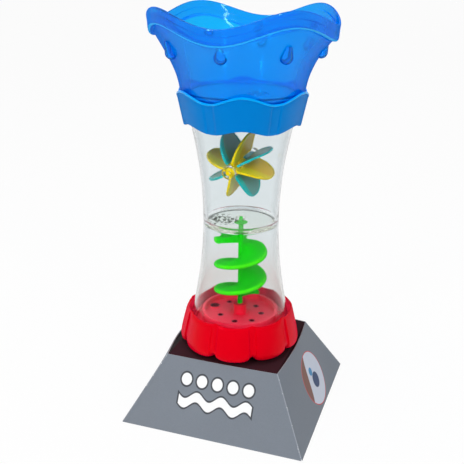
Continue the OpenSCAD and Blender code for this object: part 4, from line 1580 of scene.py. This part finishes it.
def lamp(name, place, wide, tall, power):
    """An area lamp aimed at the middle of the toy."""
    middle = Vector((0, 0, 0.17))
    settle()
    bpy.ops.object.light_add(type="AREA", location=place)
    light = named(name)
    light.data.shape = "RECTANGLE"
    light.data.size = wide
    light.data.size_y = tall
    light.data.energy = power
    light.rotation_euler = (middle - Vector(place)).to_track_quat("-Z", "Y").to_euler()


def straight_rays(n):
    """1 for what is seen directly, mirrored or through glass, 0 for light that falls on matt faces."""
    paths = n.add("ShaderNodeLightPath").outputs
    seen = n.plus(paths["Is Camera Ray"], paths["Is Transmission Ray"])
    seen = n.plus(seen, paths["Is Glossy Ray"], clamp=True)
    return n.times(seen, n.math("LESS_THAN", paths["Diffuse Depth"], 0.5))


def sweep(side, back, rise, bend):
    """Studio floor that curves up behind the toy, nearly white where it is seen."""
    settle()
    bpy.ops.mesh.primitive_plane_add(size=side, location=(0, 0, 0))
    floor = named("studio_sweep")
    bpy.ops.object.mode_set(mode="EDIT")
    select_by("VERT")
    select_where(lambda co: co.y > side / 2 - 0.1)
    bpy.ops.mesh.extrude_region_move(TRANSFORM_OT_translate={"value": (0, back, rise)})
    settle()
    add(floor, "cove", "BEVEL", width=bend, segments=16, limit_method="ANGLE", angle_limit=math.radians(30))
    pale = colours().floor
    mat, n, shader, place = material("pale studio floor")
    n.put(shader, Base_Color=n.mix(n.noise(place, 1.5, 2.0), pale, [v * 0.985 for v in pale]),
          Roughness=n.plus(n.times(n.noise(place, 9.0, 2.0), 0.1), 0.75), Specular_IOR_Level=0.2)
    white = n.put(n.add("ShaderNodeEmission"), Strength=1.0)
    body = n.blend(n.times(straight_rays(n), 0.94), shader.outputs[0], white.outputs[0])
    n.put(mat.node_tree.nodes["Material Output"], Surface=body)
    dress(floor, mat)
    smooth(floor, 30)


def air():
    """Plain white surroundings, softer as light than as they are seen."""
    world = bpy.data.worlds.new("studio air")
    world.use_nodes = True
    n = Nodes(world.node_tree)
    soft = n.put(world.node_tree.nodes["Background"], Color=(1, 1, 1), Strength=0.4)
    bright = n.put(n.add("ShaderNodeBackground"), Color=(1, 1, 1), Strength=1.0)
    body = n.blend(straight_rays(n), soft.outputs[0], bright.outputs[0])
    n.put(world.node_tree.nodes["World Output"], Surface=body)
    return world


def photo_camera(place, heading, pitch, roll, lens):
    """Camera that stands and looks as the photo's camera did."""
    bpy.ops.object.camera_add(location=place)
    camera = named("photo camera")
    level_out = math.cos(pitch)
    ahead = Vector((math.sin(heading) * level_out, math.cos(heading) * level_out, -math.sin(pitch)))
    right = Vector((math.cos(heading), -math.sin(heading), 0))
    up = right.cross(ahead)
    right, up = right * math.cos(roll) + up * math.sin(roll), up * math.cos(roll) - right * math.sin(roll)
    turn_to = Matrix((right, up, -ahead)).transposed().to_4x4()
    camera.matrix_world = Matrix.Translation(camera.location) @ turn_to
    camera.data.lens = lens
    camera.data.sensor_width = 36
    camera.data.dof.use_dof = False
    return camera


class SANDTOY_OT_stage(Build, bpy.types.Operator):
    """Pale studio sweep, soft lamps and the camera"""

    bl_idname = "sandtoy.stage"
    bl_label = "Studio stage"

    def execute(self, context):
        sweep(side=8, back=0.6, rise=3, bend=1.2)
        context.scene.world = air()
        lamp("left softbox", (-0.51, -1.4, 0.95), 0.09, 1.0, 7.6)
        lamp("right softbox", (1.09, -0.82, 0.95), 0.08, 1.0, 5.8)
        lamp("top softbox", (-0.2, -0.3, 1.7), 0.8, 0.8, 10)
        context.scene.camera = photo_camera(
            place=(0.16961, -0.52079, 0.35314), heading=math.radians(-18.786), pitch=math.radians(20.524),
            roll=math.radians(0.469), lens=56.44)
        context.scene.view_settings.view_transform = "Standard"
        return {"FINISHED"}


OPERATORS = (
    SANDTOY_OT_stand_sleeve,
    SANDTOY_OT_stand_tray,
    SANDTOY_OT_base_skirt,
    SANDTOY_OT_tube_lower,
    SANDTOY_OT_tube_upper,
    SANDTOY_OT_collar,
    SANDTOY_OT_funnel,
    SANDTOY_OT_petal_wheel,
    SANDTOY_OT_spiral,
    SANDTOY_OT_inner_parts,
    SANDTOY_OT_stage,
)


class SANDTOY_PT_panel(bpy.types.Panel):
    """Buttons that build the sand wheel toy piece by piece"""

    bl_idname = "SANDTOY_PT_panel"
    bl_label = "Sand wheel toy"
    bl_space_type = "VIEW_3D"
    bl_region_type = "UI"
    bl_category = "Sand toy"

    def draw(self, context):
        for operator in OPERATORS:
            self.layout.operator(operator.bl_idname)


CLASSES = (SandToySizes, SandToyColours, *OPERATORS, SANDTOY_PT_panel)


def register():
    for cls in CLASSES:
        bpy.utils.register_class(cls)
    bpy.types.Scene.sand_toy_sizes = bpy.props.PointerProperty(type=SandToySizes)
    bpy.types.Scene.sand_toy_colours = bpy.props.PointerProperty(type=SandToyColours)


def unregister():
    del bpy.types.Scene.sand_toy_colours
    del bpy.types.Scene.sand_toy_sizes
    for cls in reversed(CLASSES):
        bpy.utils.unregister_class(cls)


def main():
    register()
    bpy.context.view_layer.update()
    for operator in OPERATORS:
        group, name = operator.bl_idname.split(".")
        result = getattr(getattr(bpy.ops, group), name)()
        if result != {"FINISHED"}:
            raise RuntimeError(f"{operator.bl_label} could not be built")
    settle()


if __name__ == "__main__":
    main()
